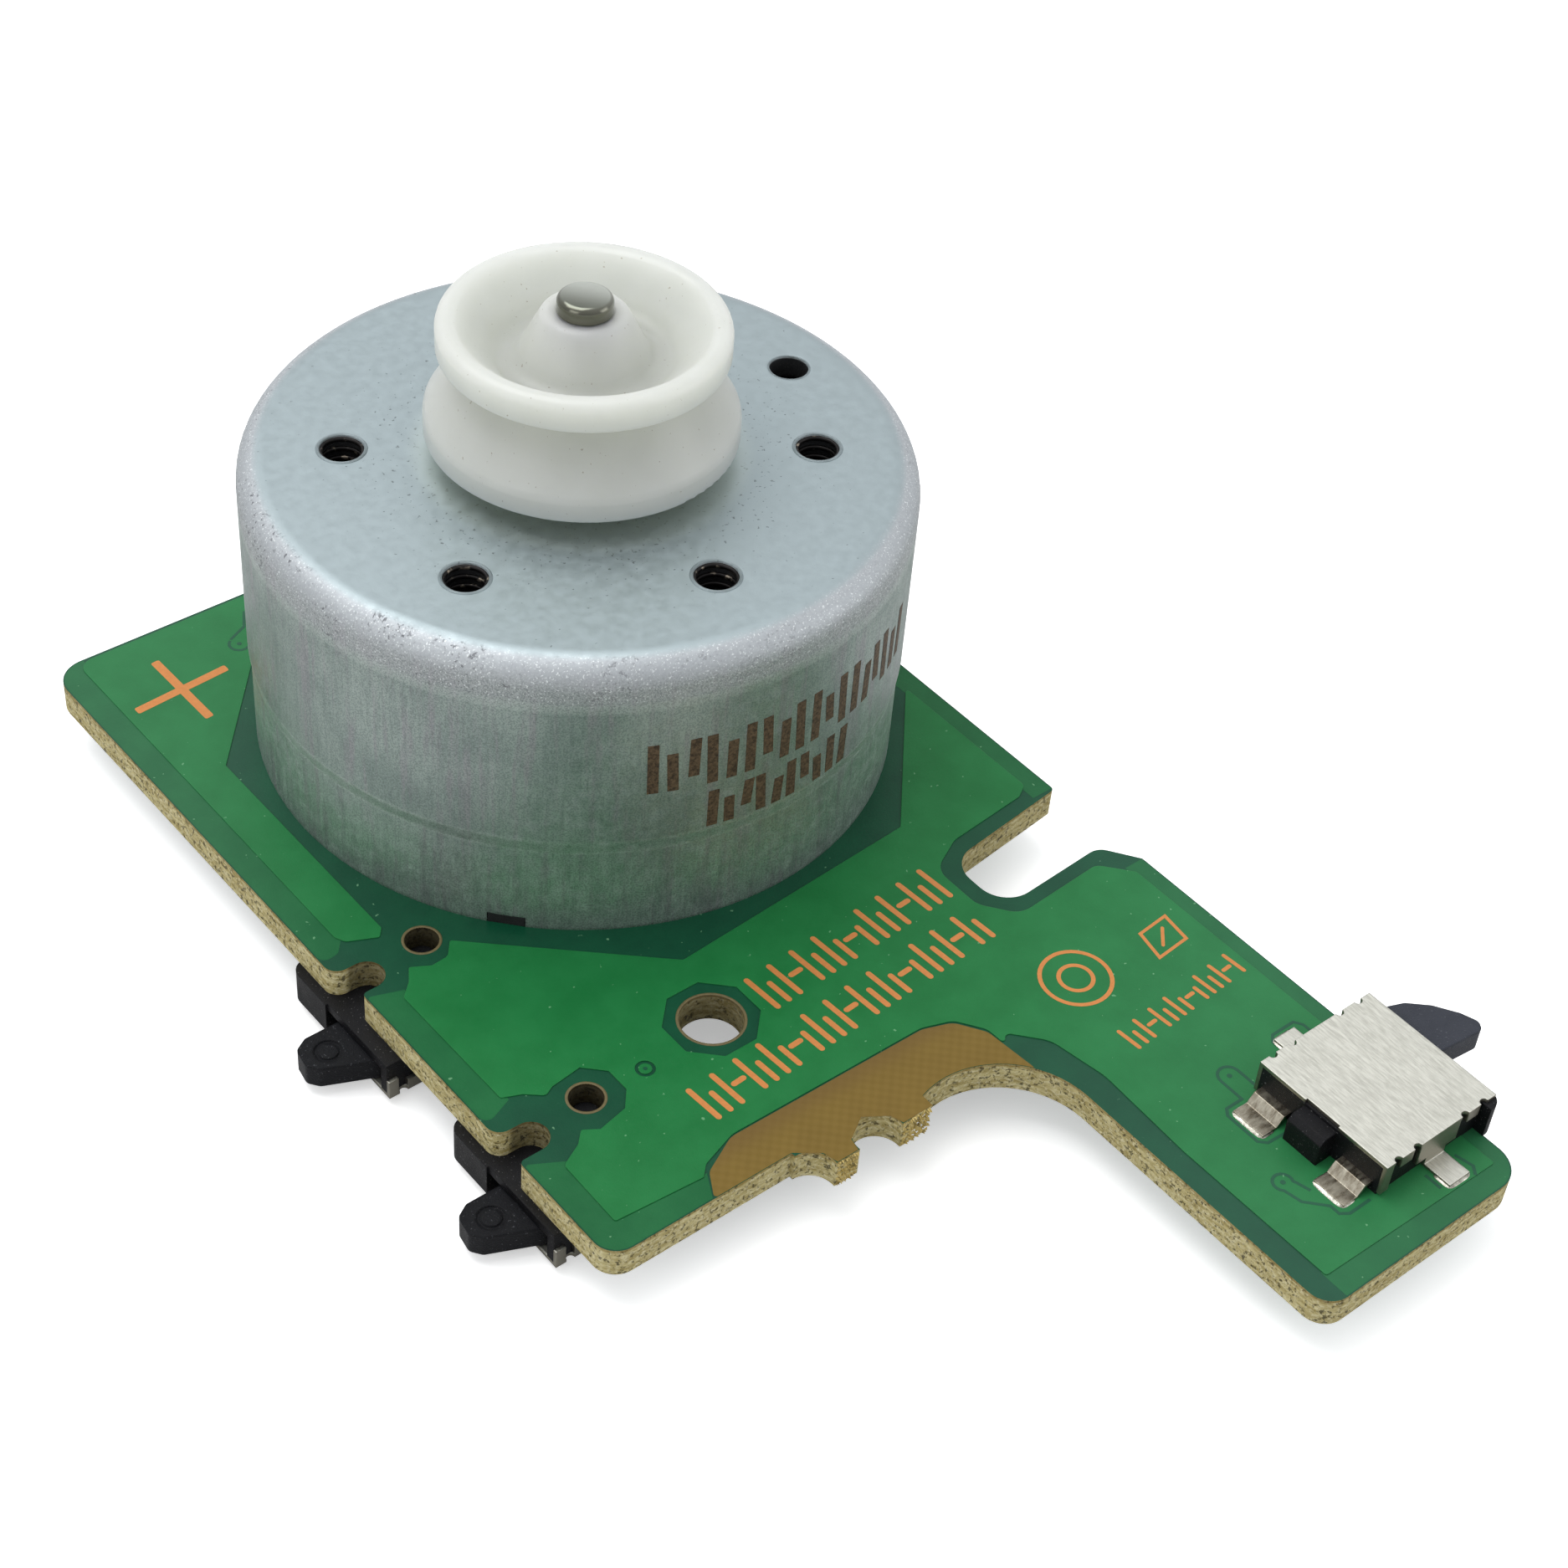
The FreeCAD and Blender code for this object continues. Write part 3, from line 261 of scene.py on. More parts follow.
def can_face(look, reach, mottle):
    """The can's face: pale and mottled, with dark specks and a ring of painted light near the axis, round
    the pulley where its shadow falls.
    """
    face = look.mix(mottle, rgb(157, 170, 173), rgb(171, 183, 187))
    near = look.window(reach, 10.2, 6.4, 0.71, 0.63)
    specks = look.window(look.calc("SUBTRACT", look.noise(5.5, 3, 0.5), near), 0.0, 0.05)
    face = look.mix(look.times(specks, 0.75), face, rgb(104, 110, 112))
    # Painted light: a paler ring round the pulley, lifting the shadow that it casts.
    return look.mix(look.window(reach, 6.4, 5.5, 0.0, 0.35), face, rgb(214, 226, 220))


def can_side(look, grain, fine):
    """The can's side: greyer, with upright streaks and grain, and a painted reflection that makes it
    lighter and greener low down.
    """
    blotch = look.noise(0.3, 4, 0.6, warp=0.4)
    streaks = look.noise(1.0, 4, 0.6, place=look.around(CAN_RADIUS, 2.2, 0.2))
    side = look.mix(look.window(blotch, 0.35, 0.65), rgb(148, 163, 157), rgb(170, 183, 177))
    # Painted reflection: the side turns lighter and greener low down.
    side = look.mix(look.window(look.z, -7.0, -10.5, 0.0, 0.75), side, rgb(186, 206, 194))
    side = look.mix(look.window(streaks, 0.48, 0.68, 0.0, 0.55), side, rgb(166, 156, 166))
    side = look.mix(look.window(grain, 0.35, 0.7, 0.0, 0.38), side, rgb(118, 132, 130))
    return look.mix(look.window(fine, 0.45, 0.75, 0.0, 0.42), side, rgb(186, 194, 194))


def can_pits(look, shoulder):
    """Pits on the can's rounding, in patches, thickest towards -X and +Y."""
    patches = look.window(look.noise(0.55, 3, 0.5), 0.4, 0.6)
    across = look.calc("SUBTRACT", look.times(look.y, 0.63), look.times(look.x, 0.77))
    patches = look.times(patches, look.window(across, -8.0, 9.0, 0.35, 1.0))
    pits = look.window(look.noise(6.5, 5, 0.65), 0.56, 0.65)
    return look.times(pits, look.times(shoulder, patches))


def can_steel():
    """Zinc plate: pale on the face, pitted on the rounding, greyer and grained on the side. Painted sheen
    and glints on the rounding, painted highlight lines on the side, painted shade down the holes.
    """
    look = Look("can_steel", 0.22)
    reach = look.reach()
    side = look.window(look.z, -0.25, -1.1)
    shoulder = look.times(look.window(look.z, 0.0, -0.12), look.window(look.z, -2.0, -1.3))
    mottle = look.noise(2.2, 8, 0.6)
    fine = look.noise(9.0, 6, 0.7)
    grain = look.noise(1.0, 5, 0.65, place=look.around(CAN_RADIUS, 7.0, 0.45))
    colour = look.mix(side, can_face(look, reach, mottle), can_side(look, grain, fine))
    # Painted sheen on the rounding: pale, going purple-grey with the fine grain.
    rounding_sheen = look.mix(fine, rgb(214, 218, 219), rgb(166, 164, 172))
    colour = look.mix(look.times(shoulder, 0.7), colour, rounding_sheen)
    # Painted highlights: thin pale lines at the foot of the rounding and at the step low on the side.
    for top, bottom, share in ((-1.6, -1.95, 0.22), (-7.85, -8.45, 0.4)):
        above_bottom = look.window(look.z, bottom - 0.1, bottom + 0.05)
        ridge_highlight = look.times(above_bottom, look.window(look.z, top + 0.1, top - 0.05))
        colour = look.mix(look.times(ridge_highlight, share), colour, rgb(216, 224, 220))
    sparkle = look.window(look.noise(17, 2, 0.5), 0.42, 0.62, 0.0, 0.42)
    colour = look.mix(look.times(sparkle, side), colour, rgb(96, 106, 104))
    # Painted glints: near-white specks on the rounding.
    painted_glints = look.window(look.noise(14, 2, 0.5), 0.6, 0.68, 0.0, 0.6)
    colour = look.mix(look.times(painted_glints, shoulder), colour, rgb(246, 250, 250))
    pits = can_pits(look, shoulder)
    colour = look.mix(look.times(pits, 0.75), colour, rgb(84, 84, 90))
    # Painted shade: upright faces down the holes in the face go near black.
    hole_wall_shade = look.times(look.window(reach, 11.3, 11.1), look.window(look.facing(), 0.6, 0.4))
    hole_wall_shade = look.times(hole_wall_shade, look.window(look.z, -0.03, -0.1))
    colour = look.mix(look.times(hole_wall_shade, 0.9), colour, rgb(26, 26, 28))
    rough = look.window(look.calc("ADD", mottle, look.times(shoulder, 0.3)), 0.3, 0.9, 0.4, 0.62)
    ripple = look.times(mottle, look.window(shoulder, 0.0, 1.0, 0.35, 1.0))
    look.bump(look.calc("SUBTRACT", ripple, look.times(pits, 0.9)), 0.03, 0.6)
    look.bump(look.times(grain, side), 0.014, 0.5)
    return look.finish(colour, rough, 0.8)


def bearing_bronze():
    """Sintered bronze: grainy, with open pores."""
    look = Look("bearing_bronze", 0.05)
    grains = look.cells(16)
    pores = look.window(look.noise(11, 4), 0.6, 0.66)
    colour = look.mix(grains, rgb(122, 96, 62), rgb(168, 138, 92))
    colour = look.mix(pores, colour, rgb(48, 38, 28))
    look.bump(look.calc("SUBTRACT", grains, pores), 0.02)
    return look.finish(colour, 0.48, 0.8)


def magnet_ferrite():
    """Bonded ferrite: dull, near black, with pressed grains."""
    look = Look("magnet_ferrite", 0.08)
    grain = look.noise(7, 7, 0.7)
    look.bump(grain, 0.03)
    return look.finish(look.mix(grain, rgb(30, 30, 33), rgb(66, 66, 70)), 0.75)


def moulded(name, dark, light, rough, relief=0.012, dust=0.0, edge=0.05, shine=0.5):
    """Moulded plastic with a fine spark grain, a little unevenness and, if asked, dust."""
    look = Look(name, edge)
    grain = look.noise(18, 5, 0.6)
    broad = look.noise(0.9, 4, 0.5)
    speckle = look.calc("ADD", look.times(grain, 0.4), look.times(broad, 0.6))
    colour = look.mix(look.window(speckle, 0.3, 0.7), dark, light)
    if dust > 0:
        specks = look.window(look.noise(13, 3, 0.5), 0.66, 0.72, 0.0, dust)
        colour = look.mix(specks, colour, rgb(150, 150, 150))
    look.bump(grain, relief)
    return look.finish(colour, look.window(broad, 0.2, 0.8, rough - 0.07, rough + 0.1),
                       specular_ior_level=shine)


def lever_grey():
    """Satin plastic with painted light and shade: nearly black on the levers below the board, slate grey on
    the one above it.
    """
    look = Look("lever_grey", 0.14)
    # Painted light and shade: the levers below the board take the dark colour, the one above it the grey.
    above = look.window(look.z, BOARD_BOTTOM, BOARD_TOP)
    grain = look.noise(18, 5, 0.6)
    broad = look.noise(0.9, 4, 0.5)
    low = look.mix(broad, rgb(3, 4, 8), rgb(11, 13, 19))
    high = look.mix(broad, rgb(42, 45, 52), rgb(62, 65, 74))
    colour = look.mix(above, low, high)
    specks = look.window(look.noise(13, 3, 0.5), 0.64, 0.72, 0.0, 0.3)
    colour = look.mix(specks, colour, rgb(140, 142, 148))
    look.bump(look.calc("ADD", grain, broad), 0.025)
    return look.finish(colour, 0.45, specular_ior_level=0.18)


def sheet_metal(name, dark, light, lengthwise, rough=0.34, edge=0.04, side=None):
    """Rolled or brushed strip. Lengthwise gives the frequency of the grain along each axis."""
    look = Look(name, edge)
    lines = look.noise(1.0, 6, 0.7, place=look.stretch(*lengthwise))
    cloud = look.noise(1.1, 4, 0.6)
    stain = look.window(look.noise(2.3, 4, 0.6), 0.58, 0.74, 0.0, 0.4)
    colour = look.mix(look.window(lines, 0.3, 0.7), dark, light)
    colour = look.mix(look.times(cloud, 0.35), colour, light)
    colour = look.mix(stain, colour, dark)
    # Painted shade: upright faces take the side colour.
    if side is not None:
        colour = look.mix(look.window(look.facing(), 0.7, 0.3, 0.0, 0.8), colour, side)
    look.bump(lines, 0.006, 0.7)
    return look.finish(colour, look.window(lines, 0.2, 0.8, rough - 0.08, rough + 0.12), 1.0)


def shaft_steel():
    """Ground steel with fine rings from grinding, and painted light and shade: bright on one side and dark
    on the other, darker on its upright faces and where it turns over at the end.
    """
    look = Look("shaft_steel", 0.12)
    rings = look.noise(1.0, 4, 0.6, place=look.stretch(0.4, 0.4, 22))
    smudge = look.noise(1.6, 4, 0.6)
    # Painted light and shade: bright on one side of the shaft, dark on the other.
    sweep = look.calc("SUBTRACT", look.times(look.x, 0.77), look.times(look.y, -0.63))
    colour = look.mix(look.window(sweep, -0.9, 0.9), rgb(112, 116, 106), rgb(214, 218, 210))
    # Painted shade on the upright faces and where the end turns over.
    colour = look.mix(look.window(look.facing(), 0.97, 0.75, 0.0, 0.6), colour, rgb(92, 90, 78))
    colour = look.mix(look.times(smudge, 0.25), colour, rgb(150, 146, 136))
    look.bump(rings, 0.003, 0.4)
    return look.finish(colour, look.window(smudge, 0.3, 0.7, 0.1, 0.2), 1.0)


def core_steel():
    """A stack of sheet laminations seen edge on."""
    look = Look("core_steel", 0.04)
    layer = look.calc("FRACT", look.times(look.z, 1 / 0.35))
    seam = look.window(look.calc("ABSOLUTE", look.calc("SUBTRACT", layer, 0.5)), 0.38, 0.47)
    mottle = look.noise(3, 5, 0.6)
    colour = look.mix(mottle, rgb(92, 94, 98), rgb(142, 144, 150))
    colour = look.mix(seam, colour, rgb(40, 38, 38))
    look.bump(look.calc("SUBTRACT", 1.0, seam), 0.03)
    return look.finish(colour, 0.45, 0.85)


def coil_copper():
    """Turns of enamelled wire."""
    look = Look("coil_copper")
    turn = look.calc("SINE", look.times(look.reach(), 40.0))
    wire = look.window(turn, -1.0, 1.0)
    shade = look.noise(4, 4, 0.6)
    colour = look.mix(wire, rgb(74, 28, 14), rgb(190, 96, 50))
    colour = look.mix(look.times(shade, 0.4), colour, rgb(150, 60, 30))
    look.bump(wire, 0.06)
    return look.finish(colour, 0.28, 0.7, coat_weight=0.6)


def segment_copper():
    """Turned copper with the dark tracks that brushes leave."""
    look = Look("segment_copper", 0.04)
    tracks = look.noise(1.0, 4, 0.6, place=look.stretch(0.5, 0.5, 14))
    colour = look.mix(look.window(tracks, 0.35, 0.65), rgb(122, 66, 42), rgb(214, 138, 98))
    look.bump(tracks, 0.01)
    return look.finish(colour, 0.3, 1.0)


def pulley_ivory():
    """Natural ivory plastic: light passes a little way in, with faint turning lines and flecks."""
    look = Look("pulley_ivory", 0.08)
    broad = look.noise(0.8, 4, 0.5)
    flecks = look.window(look.noise(7.5, 2, 0.4), 0.73, 0.77, 0.0, 0.6)
    rings = look.noise(1.0, 3, 0.5, place=look.around(1.0, 0.4, 7.0))
    colour = look.mix(broad, rgb(189, 191, 184), rgb(197, 199, 193))
    colour = look.mix(flecks, colour, rgb(128, 118, 96))
    look.bump(rings, 0.004, 0.6)
    look.shader.subsurface_method = "RANDOM_WALK"
    look.shader.inputs["Subsurface Radius"].default_value = (1.0, 1.0, 0.9)
    return look.finish(colour, look.window(broad, 0.3, 0.7, 0.3, 0.42),
                       subsurface_weight=1.0, subsurface_scale=4.5 * MM)


def laminate_colour(look):
    """Cut glass-fibre laminate: cream, with layers, fibre ends and dark crumbs."""
    layers = look.noise(1.0, 4, 0.6, place=look.stretch(0.9, 0.9, 6.5))
    fibres = look.noise(1.0, 5, 0.7, place=look.stretch(5.5, 5.5, 8.0))
    crumbs = look.window(look.noise(5.2, 5, 0.7), 0.55, 0.66)
    colour = look.mix(look.window(layers, 0.32, 0.66), rgb(160, 144, 88), rgb(202, 190, 138))
    colour = look.mix(look.window(fibres, 0.45, 0.68, 0.0, 0.75), colour, rgb(226, 218, 178))
    colour = look.mix(look.times(crumbs, 0.8), colour, rgb(78, 72, 48))
    return colour, look.calc("SUBTRACT", fibres, crumbs)


def resist_colour(look, dark, light):
    """Green solder resist with slight clouding, a few pale flecks and a veil of painted sheen towards the
    board's ends.
    """
    look.shader.inputs["Specular IOR Level"].default_value = 0.2
    cloud = look.noise(0.5, 5, 0.6)
    fine = look.noise(9.0, 5, 0.6)
    colour = look.mix(look.window(cloud, 0.25, 0.75), dark, light)
    colour = look.mix(look.window(fine, 0.5, 0.8, 0.0, 0.22), colour, dark)
    # Painted sheen: a pale veil that grows towards the board's ends.
    along = look.calc("SUBTRACT", look.times(look.x, 0.73), look.times(look.y, 0.68))
    reach = look.calc("ABSOLUTE", look.calc("SUBTRACT", along, 5.0))
    colour = look.mix(look.window(reach, 7.0, 22.0, 0.0, 0.05), colour, rgb(150, 190, 175))
    flecks = look.window(look.noise(4.2, 2, 0.4), 0.745, 0.77)
    return look.mix(look.times(flecks, 0.35), colour, rgb(150, 205, 160)), fine


def board_green():
    """The board: dark resist on its level faces, cut laminate on its upright ones."""
    look = Look("board_green")
    resist, fine = resist_colour(look, rgb(8, 66, 44), rgb(14, 76, 50))
    cut, fibre = laminate_colour(look)
    under_resist = look.window(look.z, BOARD_TOP - 0.13, BOARD_TOP - 0.08, 0.0, 0.65)
    cut = look.mix(under_resist, cut, rgb(140, 116, 58))
    # Painted shade on the cut faces of the holes and notches.
    for x, y, reach, shade in BOARD_HOLES:
        near = look.window(look.reach(x, y), reach + 0.1, reach, 0.0, shade)
        cut = look.mix(near, cut, rgb(34, 30, 18))
    level = look.window(look.facing(), 0.4, 0.6)
    look.bump(look.mix(level, fibre, look.times(fine, 0.08)), 0.07)
    rough = look.mix(level, (0.72, 0.72, 0.72, 1), (0.34, 0.34, 0.34, 1))
    return look.finish(look.mix(level, cut, resist), rough)


def solder():
    """Bright solder with a crystalline skin."""
    look = Look("solder")
    skin = look.cells(5)
    wave = look.noise(2.5, 5, 0.6)
    colour = look.mix(skin, rgb(136, 132, 122), rgb(208, 205, 194))
    look.bump(look.calc("ADD", wave, look.times(skin, 0.3)), 0.05)
    return look.finish(colour, look.window(wave, 0.3, 0.7, 0.2, 0.42), 1.0)


def varistor_ceramic():
    """Dark fired ceramic with silvered pads."""
    look = Look("varistor_ceramic", 0.04)
    grain = look.noise(9, 5, 0.6)
    pads = look.window(look.noise(0.7, 1, 0.4), 0.52, 0.56)
    colour = look.mix(pads, look.mix(grain, rgb(34, 34, 40), rgb(60, 60, 68)), rgb(176, 176, 172))
    look.bump(grain, 0.02)
    return look.finish(colour, 0.5)


# Slots with a look of their own. Each function bears the name of its slot.
OWN_LOOKS = (can_steel, bearing_bronze, magnet_ferrite, shaft_steel, core_steel, coil_copper,
             segment_copper, varistor_ceramic, pulley_ivory, board_green, solder, lever_grey)

PLASTICS = {
    "black_plastic": (rgb(14, 14, 15), rgb(30, 30, 32), 0.55),
    "washer_nylon": (rgb(190, 184, 162), rgb(220, 215, 196), 0.45),
    "hub_plastic": (rgb(52, 34, 24), rgb(84, 58, 42), 0.5),
    "connector_ivory": (rgb(206, 198, 172), rgb(226, 220, 198), 0.5),
    "connector_dark": (rgb(40, 33, 28), rgb(66, 55, 46), 0.5),
    "switch_black": (rgb(8, 8, 10), rgb(20, 20, 24), 0.5, 0.02, 0.4, 0.08, 0.2),
}

SHEET_METALS = {
    "brush_metal": (rgb(150, 112, 66), rgb(206, 170, 118), (8, 1, 9)),
    "terminal_metal": (rgb(156, 152, 142), rgb(206, 203, 194), (9, 9, 1)),
    "contact_metal": (rgb(114, 103, 86), rgb(190, 184, 168), (2, 5, 2), 0.3),
    # cover_steel: its last colour is painted shade, taken by its upright faces.
    "cover_steel": (rgb(194, 193, 182), rgb(230, 229, 219), (14, 1.6, 14), 0.4, 0.07, rgb(128, 122, 108)),
    "spring_steel": (rgb(120, 120, 122), rgb(180, 180, 182), (20, 20, 20)),
}


def paint_cad():
    """Give every CAD node the look of its material slot, and return the looks by slot."""
    looks = {make.__name__: make() for make in OWN_LOOKS}
    looks |= {slot: moulded(slot, *values) for slot, values in PLASTICS.items()}
    looks |= {slot: sheet_metal(slot, *values) for slot, values in SHEET_METALS.items()}
    for part in frame["record"]["subparts"]:
        materials = frame["nodes"][part["node"]].data.materials
        materials.clear()
        materials.append(looks[part["material_slot"]])
    return looks


# ---------------------------------------------------------------- looks of the added pieces

def pour_green():
    """Resist over copper: lighter and yellower than over bare laminate."""
    look = Look("pour_green", 0.04)
    colour, fine = resist_colour(look, rgb(18, 105, 50), rgb(28, 115, 59))
    look.bump(fine, 0.006)
    return look.finish(colour, look.window(fine, 0.3, 0.7, 0.3, 0.4))


def margin_green():
    """Resist on laminate near an edge, where light comes through the board."""
    look = Look("margin_green")
    colour, fine = resist_colour(look, rgb(16, 90, 48), rgb(26, 100, 55))
    look.bump(fine, 0.006)
    return look.finish(colour, 0.36)


def bare_laminate():
    """Laminate without resist: brown, with a faint weave and a painted shadow along its far edge, under the
    resist's edge.
    """
    look = Look("bare_laminate")
    weave_x = look.calc("SINE", look.times(look.x, 2 * math.pi / 0.45))
    weave_y = look.calc("SINE", look.times(look.y, 2 * math.pi / 0.45))
    weave = look.window(look.times(weave_x, weave_y), -1.0, 1.0)
    cloud = look.noise(0.8, 5, 0.6)
    colour = look.mix(cloud, rgb(106, 84, 31), rgb(120, 97, 39))
    colour = look.mix(look.times(weave, 0.05), colour, rgb(190, 160, 96))
    # Painted shadow of the resist's edge along the window's far side.
    resist_edge_shade = look.window(look.y, -21.6, -20.6, 0.0, 0.6)
    colour = look.mix(resist_edge_shade, colour, rgb(104, 80, 42))
    look.bump(weave, 0.002)
    return look.finish(colour, 0.45, specular_ior_level=0.2)


def hole_rim():
    """Laminate that shows round a drilled hole where the resist stops short."""
    look = Look("hole_rim")
    cloud = look.noise(5.0, 5, 0.6)
    look.bump(cloud, 0.01)
    return look.finish(look.mix(cloud, rgb(74, 68, 40), rgb(122, 106, 66)), 0.6)


def shaded_thread():
    """Thread crests deep in a hole: painted shade keeps them dark, with a few painted glints."""
    look = Look("shaded_thread")
    glint = look.window(look.noise(3.0, 3, 0.5), 0.6, 0.7)
    return look.finish(look.mix(glint, rgb(38, 36, 36), rgb(150, 140, 126)), 0.4, 0.8)


def bare_copper():
    """Copper that shows where the resist is left open, under a clear skin."""
    look = Look("bare_copper")
    cloud = look.noise(6, 5, 0.6)
    colour = look.mix(cloud, rgb(190, 116, 56), rgb(214, 140, 74))
    look.bump(cloud, 0.004)
    return look.finish(colour, 0.4, 0.25)


def torn_laminate():
    """Snapped laminate: yellow fibre bundles."""
    look = Look("torn_laminate")
    colour, fibre = laminate_colour(look)
    colour = look.mix(0.55, colour, rgb(216, 186, 96))
    look.bump(fibre, 0.1)
    return look.finish(colour, 0.7)


def burnt_mark():
    """Brown laser mark on zinc."""
    look = Look("burnt_mark")
    char = look.noise(8, 5, 0.7)
    colour = look.mix(look.window(char, 0.35, 0.65), rgb(54, 40, 28), rgb(106, 86, 64))
    look.bump(char, 0.01)
    return look.finish(colour, 0.6, 0.3)


def resist_shadow():
    """Dark resist in the gap round a pad."""
    look = Look("resist_gap")
    colour, fine = resist_colour(look, rgb(16, 74, 50), rgb(24, 84, 57))
    look.bump(fine, 0.004)
    return look.finish(colour, 0.35)


# ---------------------------------------------------------------- shape helpers

def rounded(corners, steps=7):
    """A closed outline from corners (x, y, radius), each corner turned into an arc."""
    outline = []
    for i, (x, y, radius) in enumerate(corners):
        here = Vector((x, y))
        if radius <= 0:
            outline.append((x, y))
            continue
        back = (Vector(corners[i - 1][:2]) - here).normalized()
        ahead = (Vector(corners[(i + 1) % len(corners)][:2]) - here).normalized()
        half = math.acos(max(-1.0, min(1.0, back.dot(ahead)))) / 2
        centre = here + (back + ahead).normalized() * radius / math.sin(half)
        start = here + back * radius / math.tan(half) - centre
        end = here + ahead * radius / math.tan(half) - centre
        first = math.atan2(start.y, start.x)
        sweep = (math.atan2(end.y, end.x) - first + math.pi) % (2 * math.pi) - math.pi
        for k in range(steps + 1):
            angle = first + sweep * k / steps
            outline.append((centre.x + radius * math.cos(angle), centre.y + radius * math.sin(angle)))
    return outline


def ngon(x, y, radius, sides, turn=0.0):
    """A regular outline round a centre."""
    return [(x + radius * math.cos(math.radians(turn) + 2 * math.pi * k / sides),
             y + radius * math.sin(math.radians(turn) + 2 * math.pi * k / sides)) for k in range(sides)]


def stroke(start, end, width):
    """A straight stroke with round ends."""
    a, b = Vector(start), Vector(end)
    along = math.atan2(b.y - a.y, b.x - a.x)
    outline = []
    for centre, middle in ((b, along), (a, along + math.pi)):
        for k in range(7):
            angle = middle - math.pi / 2 + math.pi * k / 6
            outline.append((centre.x + width / 2 * math.cos(angle), centre.y + width / 2 * math.sin(angle)))
    return outline


def add_piece(name, shape, material, smooth=False):
    """Link a built shape as a piece that rides on the still base, with the material given."""
    for face in shape.faces:
        face.smooth = smooth
    mesh = bpy.data.meshes.new(name)
    shape.to_mesh(mesh)
    shape.free()
    mesh.materials.append(material)
    piece = bpy.data.objects.new(name, mesh)
    bpy.context.scene.collection.objects.link(piece)
    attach(piece, "base")
    return piece


def plate(name, regions, low, thick, material, bevel=0.0):
    """Level plates. Each region is a list of outlines: its edge, then any holes in it."""
    shape = bmesh.new()
    for outlines in regions:
        edges = []
        for outline in outlines:
            ring = [shape.verts.new((x * MM, y * MM, low * MM)) for x, y in outline]
            edges += [shape.edges.new((ring[i - 1], ring[i])) for i in range(len(ring))]
        filled = bmesh.ops.triangle_fill(shape, use_beauty=True, edges=edges)
        faces = [face for face in filled["geom"] if isinstance(face, bmesh.types.BMFace)]
        raised = bmesh.ops.extrude_face_region(shape, geom=faces)
        top = [vert for vert in raised["geom"] if isinstance(vert, bmesh.types.BMVert)]
        bmesh.ops.translate(shape, verts=top, vec=(0, 0, thick * MM))
    bmesh.ops.recalc_face_normals(shape, faces=shape.faces)
    piece = add_piece(name, shape, material)
    if bevel > 0:
        soft = piece.modifiers.new("edge", "BEVEL")
        soft.width = bevel * MM
        soft.segments = 2
        soft.limit_method = "ANGLE"
        soft.angle_limit = math.radians(50)
    return piece


def lathe(name, profile, places, material):
    """Turn a closed outline of (radius, height) about an upright axis at each place."""
    steps = 40
    shape = bmesh.new()
    for x, y, z in places:
        rings = []
        for k in range(steps):
            angle = 2 * math.pi * k / steps
            rings.append([shape.verts.new(((x + r * math.cos(angle)) * MM, (y + r * math.sin(angle)) * MM,
                                           (z + h) * MM)) for r, h in profile])
        for k in range(steps):
            here, there = rings[k], rings[(k + 1) % steps]
            for i in range(len(profile)):
                j = (i + 1) % len(profile)
                shape.faces.new((here[i], there[i], there[j], here[j]))
    bmesh.ops.recalc_face_normals(shape, faces=shape.faces)
    return add_piece(name, shape, material, smooth=True)


# ---------------------------------------------------------------- the motor's added detail

def on_face(reach, angle):
    """A place on the can's face, from its distance from the axis and its angle in degrees."""
    turn = math.radians(angle)
    return (reach * math.cos(turn), reach * math.sin(turn), 0.0)


def ring_profile(inner, outer, low, high):
    """A rounded ring section between two radii and two heights."""
    count = 8
    middle = ((inner + outer) / 2, (low + high) / 2)
    half = ((outer - inner) / 2, (high - low) / 2)
    return [(middle[0] + half[0] * math.cos(2 * math.pi * k / count),
             middle[1] + half[1] * math.sin(2 * math.pi * k / count)) for k in range(count)]


def motor_detail(looks):
    """Thread crests in the tapped holes, the low lips pressed up round them, and the laser mark."""
    screws = [on_face(SCREW_CIRCLE, angle) for angle in SCREW_ANGLES]
    vent = on_face(VENT_CIRCLE, VENT_ANGLE)
    zinc, dark = looks["can_steel"], shaded_thread()
    for k in range(4):
        drop = THREAD_PITCH * k
        crest = ring_profile(0.68, 0.84, -0.24 - drop, -0.04 - drop)
        lathe(f"thread_crest_{k + 1}", crest, screws, dark)
    lathe("hole_lip", ring_profile(0.79, 0.93, -0.03, 0.03), screws, zinc)
    lathe("vent_lip", ring_profile(0.73, 0.82, -0.02, 0.012), [vent], zinc)
    laser_mark()


def laser_mark():
    """Two rows of plain burnt bars on the can's side, in place of its lettering."""
    shape = bmesh.new()
    # Each row: its first and last bar's angle in degrees, the count of bars, their top and bottom.
    rows = ((-114.5, -57.0, 18, -3.5, -5.7), (-104.0, -76.5, 10, -6.1, -7.75))
    radius = CAN_RADIUS + LASER_DEPTH
    half = 0.95
    for start, end, count, top, bottom in rows:
        for k in range(count):
            angle = start + (end - start) * k / (count - 1)
            high = top - (0.5 if k % 3 == 1 else 0.0)
            low = bottom + (0.5 if k % 4 == 2 else 0.0)
            lean = random.uniform(-0.5, 0.5)
            corners = []
            for turn, height in ((-half, low), (half, low), (half + lean, high), (-half + lean, high)):
                around = math.radians(angle + turn)
                corners.append(shape.verts.new((radius * math.cos(around) * MM,
                                                radius * math.sin(around) * MM, height * MM)))
            shape.faces.new(corners)
    piece = add_piece("laser_mark", shape, burnt_mark())
    thick = piece.modifiers.new("depth", "SOLIDIFY")
    thick.thickness = LASER_DEPTH * MM


# ---------------------------------------------------------------- the board's added detail

